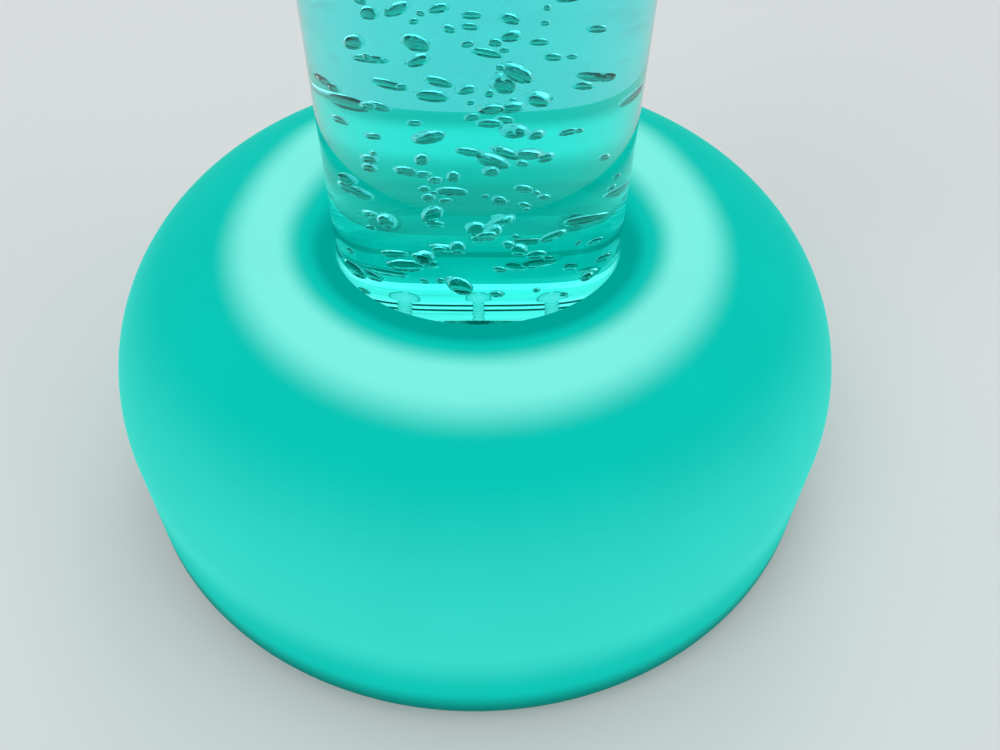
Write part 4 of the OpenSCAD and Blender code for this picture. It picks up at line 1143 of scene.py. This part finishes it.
class LAMP_OT_camera(bpy.types.Operator):
    """Sets the camera at the photograph's viewing angle"""

    bl_idname = "lamp.camera"
    bl_label = "Camera"

    def execute(self, context):
        ahead = Vector((math.sin(YAW) * math.cos(PITCH), math.cos(YAW) * math.cos(PITCH),
                        -math.sin(PITCH)))
        level = Vector((math.cos(YAW), -math.sin(YAW), 0.0))
        over = level.cross(ahead)
        right = math.cos(ROLL) * level + math.sin(ROLL) * over
        up = -math.sin(ROLL) * level + math.cos(ROLL) * over
        turn = Matrix((right, up, -ahead)).transposed().to_4x4()
        data = bpy.data.cameras.new("camera")
        data.sensor_width = SENSOR_MM
        data.sensor_fit = "HORIZONTAL"
        data.lens = FOCAL_PX * SENSOR_MM / PICTURE_W
        data.clip_start = 0.01
        data.clip_end = 100.0
        camera = place_object("camera", data)
        camera.matrix_world = Matrix.Translation(CAMERA_AT) @ turn
        context.scene.camera = camera
        return {"FINISHED"}


def area_light(name, at, aim, size, watts):
    """A round soft light that looks at a point."""
    data = bpy.data.lights.new(name, "AREA")
    data.shape = "DISK"
    data.size = size
    data.energy = watts
    light = place_object(name, data)
    light.location = at
    light.rotation_euler = (Vector(aim) - Vector(at)).to_track_quat("-Z", "Y").to_euler()


class LAMP_OT_stage(bpy.types.Operator):
    """Builds the plain pale floor, the backdrop and the soft studio light"""

    bl_idname = "lamp.stage"
    bl_label = "Stage"

    def execute(self, context):
        pale = linear(colours().floor)
        mesh = bmesh.new()
        bmesh.ops.create_circle(mesh, cap_ends=True, segments=96, radius=FLOOR_R)
        material, tree, shader = new_material("matt_studio_floor", {
            "Base Color": pale, "Specular IOR Level": 0.2})
        grain(tree, shader, object_point(tree), 6.0, 0.01, (0.82, 0.9))
        floor = make_piece("studio_floor", mesh, [material])
        world = bpy.data.worlds.new("studio_world")
        world.use_nodes = True
        tree = world.node_tree
        tree.nodes.clear()
        path = add(tree, "ShaderNodeLightPath")
        seen = path.outputs["Is Camera Ray"]
        for kind in ("Is Glossy Ray", "Is Transmission Ray"):
            seen = add(tree, "ShaderNodeMath", {0: seen, 1: path.outputs[kind]},
                       operation="MAXIMUM").outputs[0]
        plain = add(tree, "ShaderNodeBackground",
                    {"Color": (1, 1, 1, 1), "Strength": PLAIN_LIGHT})
        shown = add(tree, "ShaderNodeBackground", {"Color": pale, "Strength": 1.0})
        mix = add(tree, "ShaderNodeMixShader",
                  {0: seen, 1: plain.outputs[0], 2: shown.outputs[0]})
        add(tree, "ShaderNodeOutputWorld", {"Surface": mix.outputs[0]})
        context.scene.world = world
        for light in STUDIO_LIGHTS:
            area_light(*light)
        context.scene.view_settings.view_transform = "Standard"
        return {"FINISHED"}


class LAMP_PT_panel(bpy.types.Panel):
    """Lists the lamp's sizes, colours and pieces"""

    bl_label = "Bubble Tube Lamp"
    bl_idname = "LAMP_PT_panel"
    bl_space_type = "VIEW_3D"
    bl_region_type = "UI"
    bl_category = "Lamp"

    def draw(self, context):
        for group in (context.scene.lamp_sizes, context.scene.lamp_colours):
            for name in group.bl_rna.properties.keys():
                if name not in ("rna_type", "name"):
                    self.layout.prop(group, name)
        for operator in OPERATORS:
            self.layout.operator(operator.bl_idname)


GROUPS = (LampSizes, LampColours)
OPERATORS = (LAMP_OT_base_shell, LAMP_OT_bubble_tube, LAMP_OT_water, LAMP_OT_tube_plug,
             LAMP_OT_air_outlets, LAMP_OT_tube_foot, LAMP_OT_base_parts, LAMP_OT_air_system,
             LAMP_OT_controls, LAMP_OT_top_cap, LAMP_OT_camera, LAMP_OT_stage)
CLASSES = GROUPS + OPERATORS + (LAMP_PT_panel,)


def register():
    for kind in CLASSES:
        bpy.utils.register_class(kind)
    bpy.types.Scene.lamp_sizes = bpy.props.PointerProperty(type=LampSizes)
    bpy.types.Scene.lamp_colours = bpy.props.PointerProperty(type=LampColours)


def unregister():
    del bpy.types.Scene.lamp_colours
    del bpy.types.Scene.lamp_sizes
    for kind in reversed(CLASSES):
        bpy.utils.unregister_class(kind)


def main():
    register()
    for operator in OPERATORS:
        getattr(bpy.ops.lamp, operator.bl_idname.split(".")[1])()


if __name__ == "__main__":
    main()
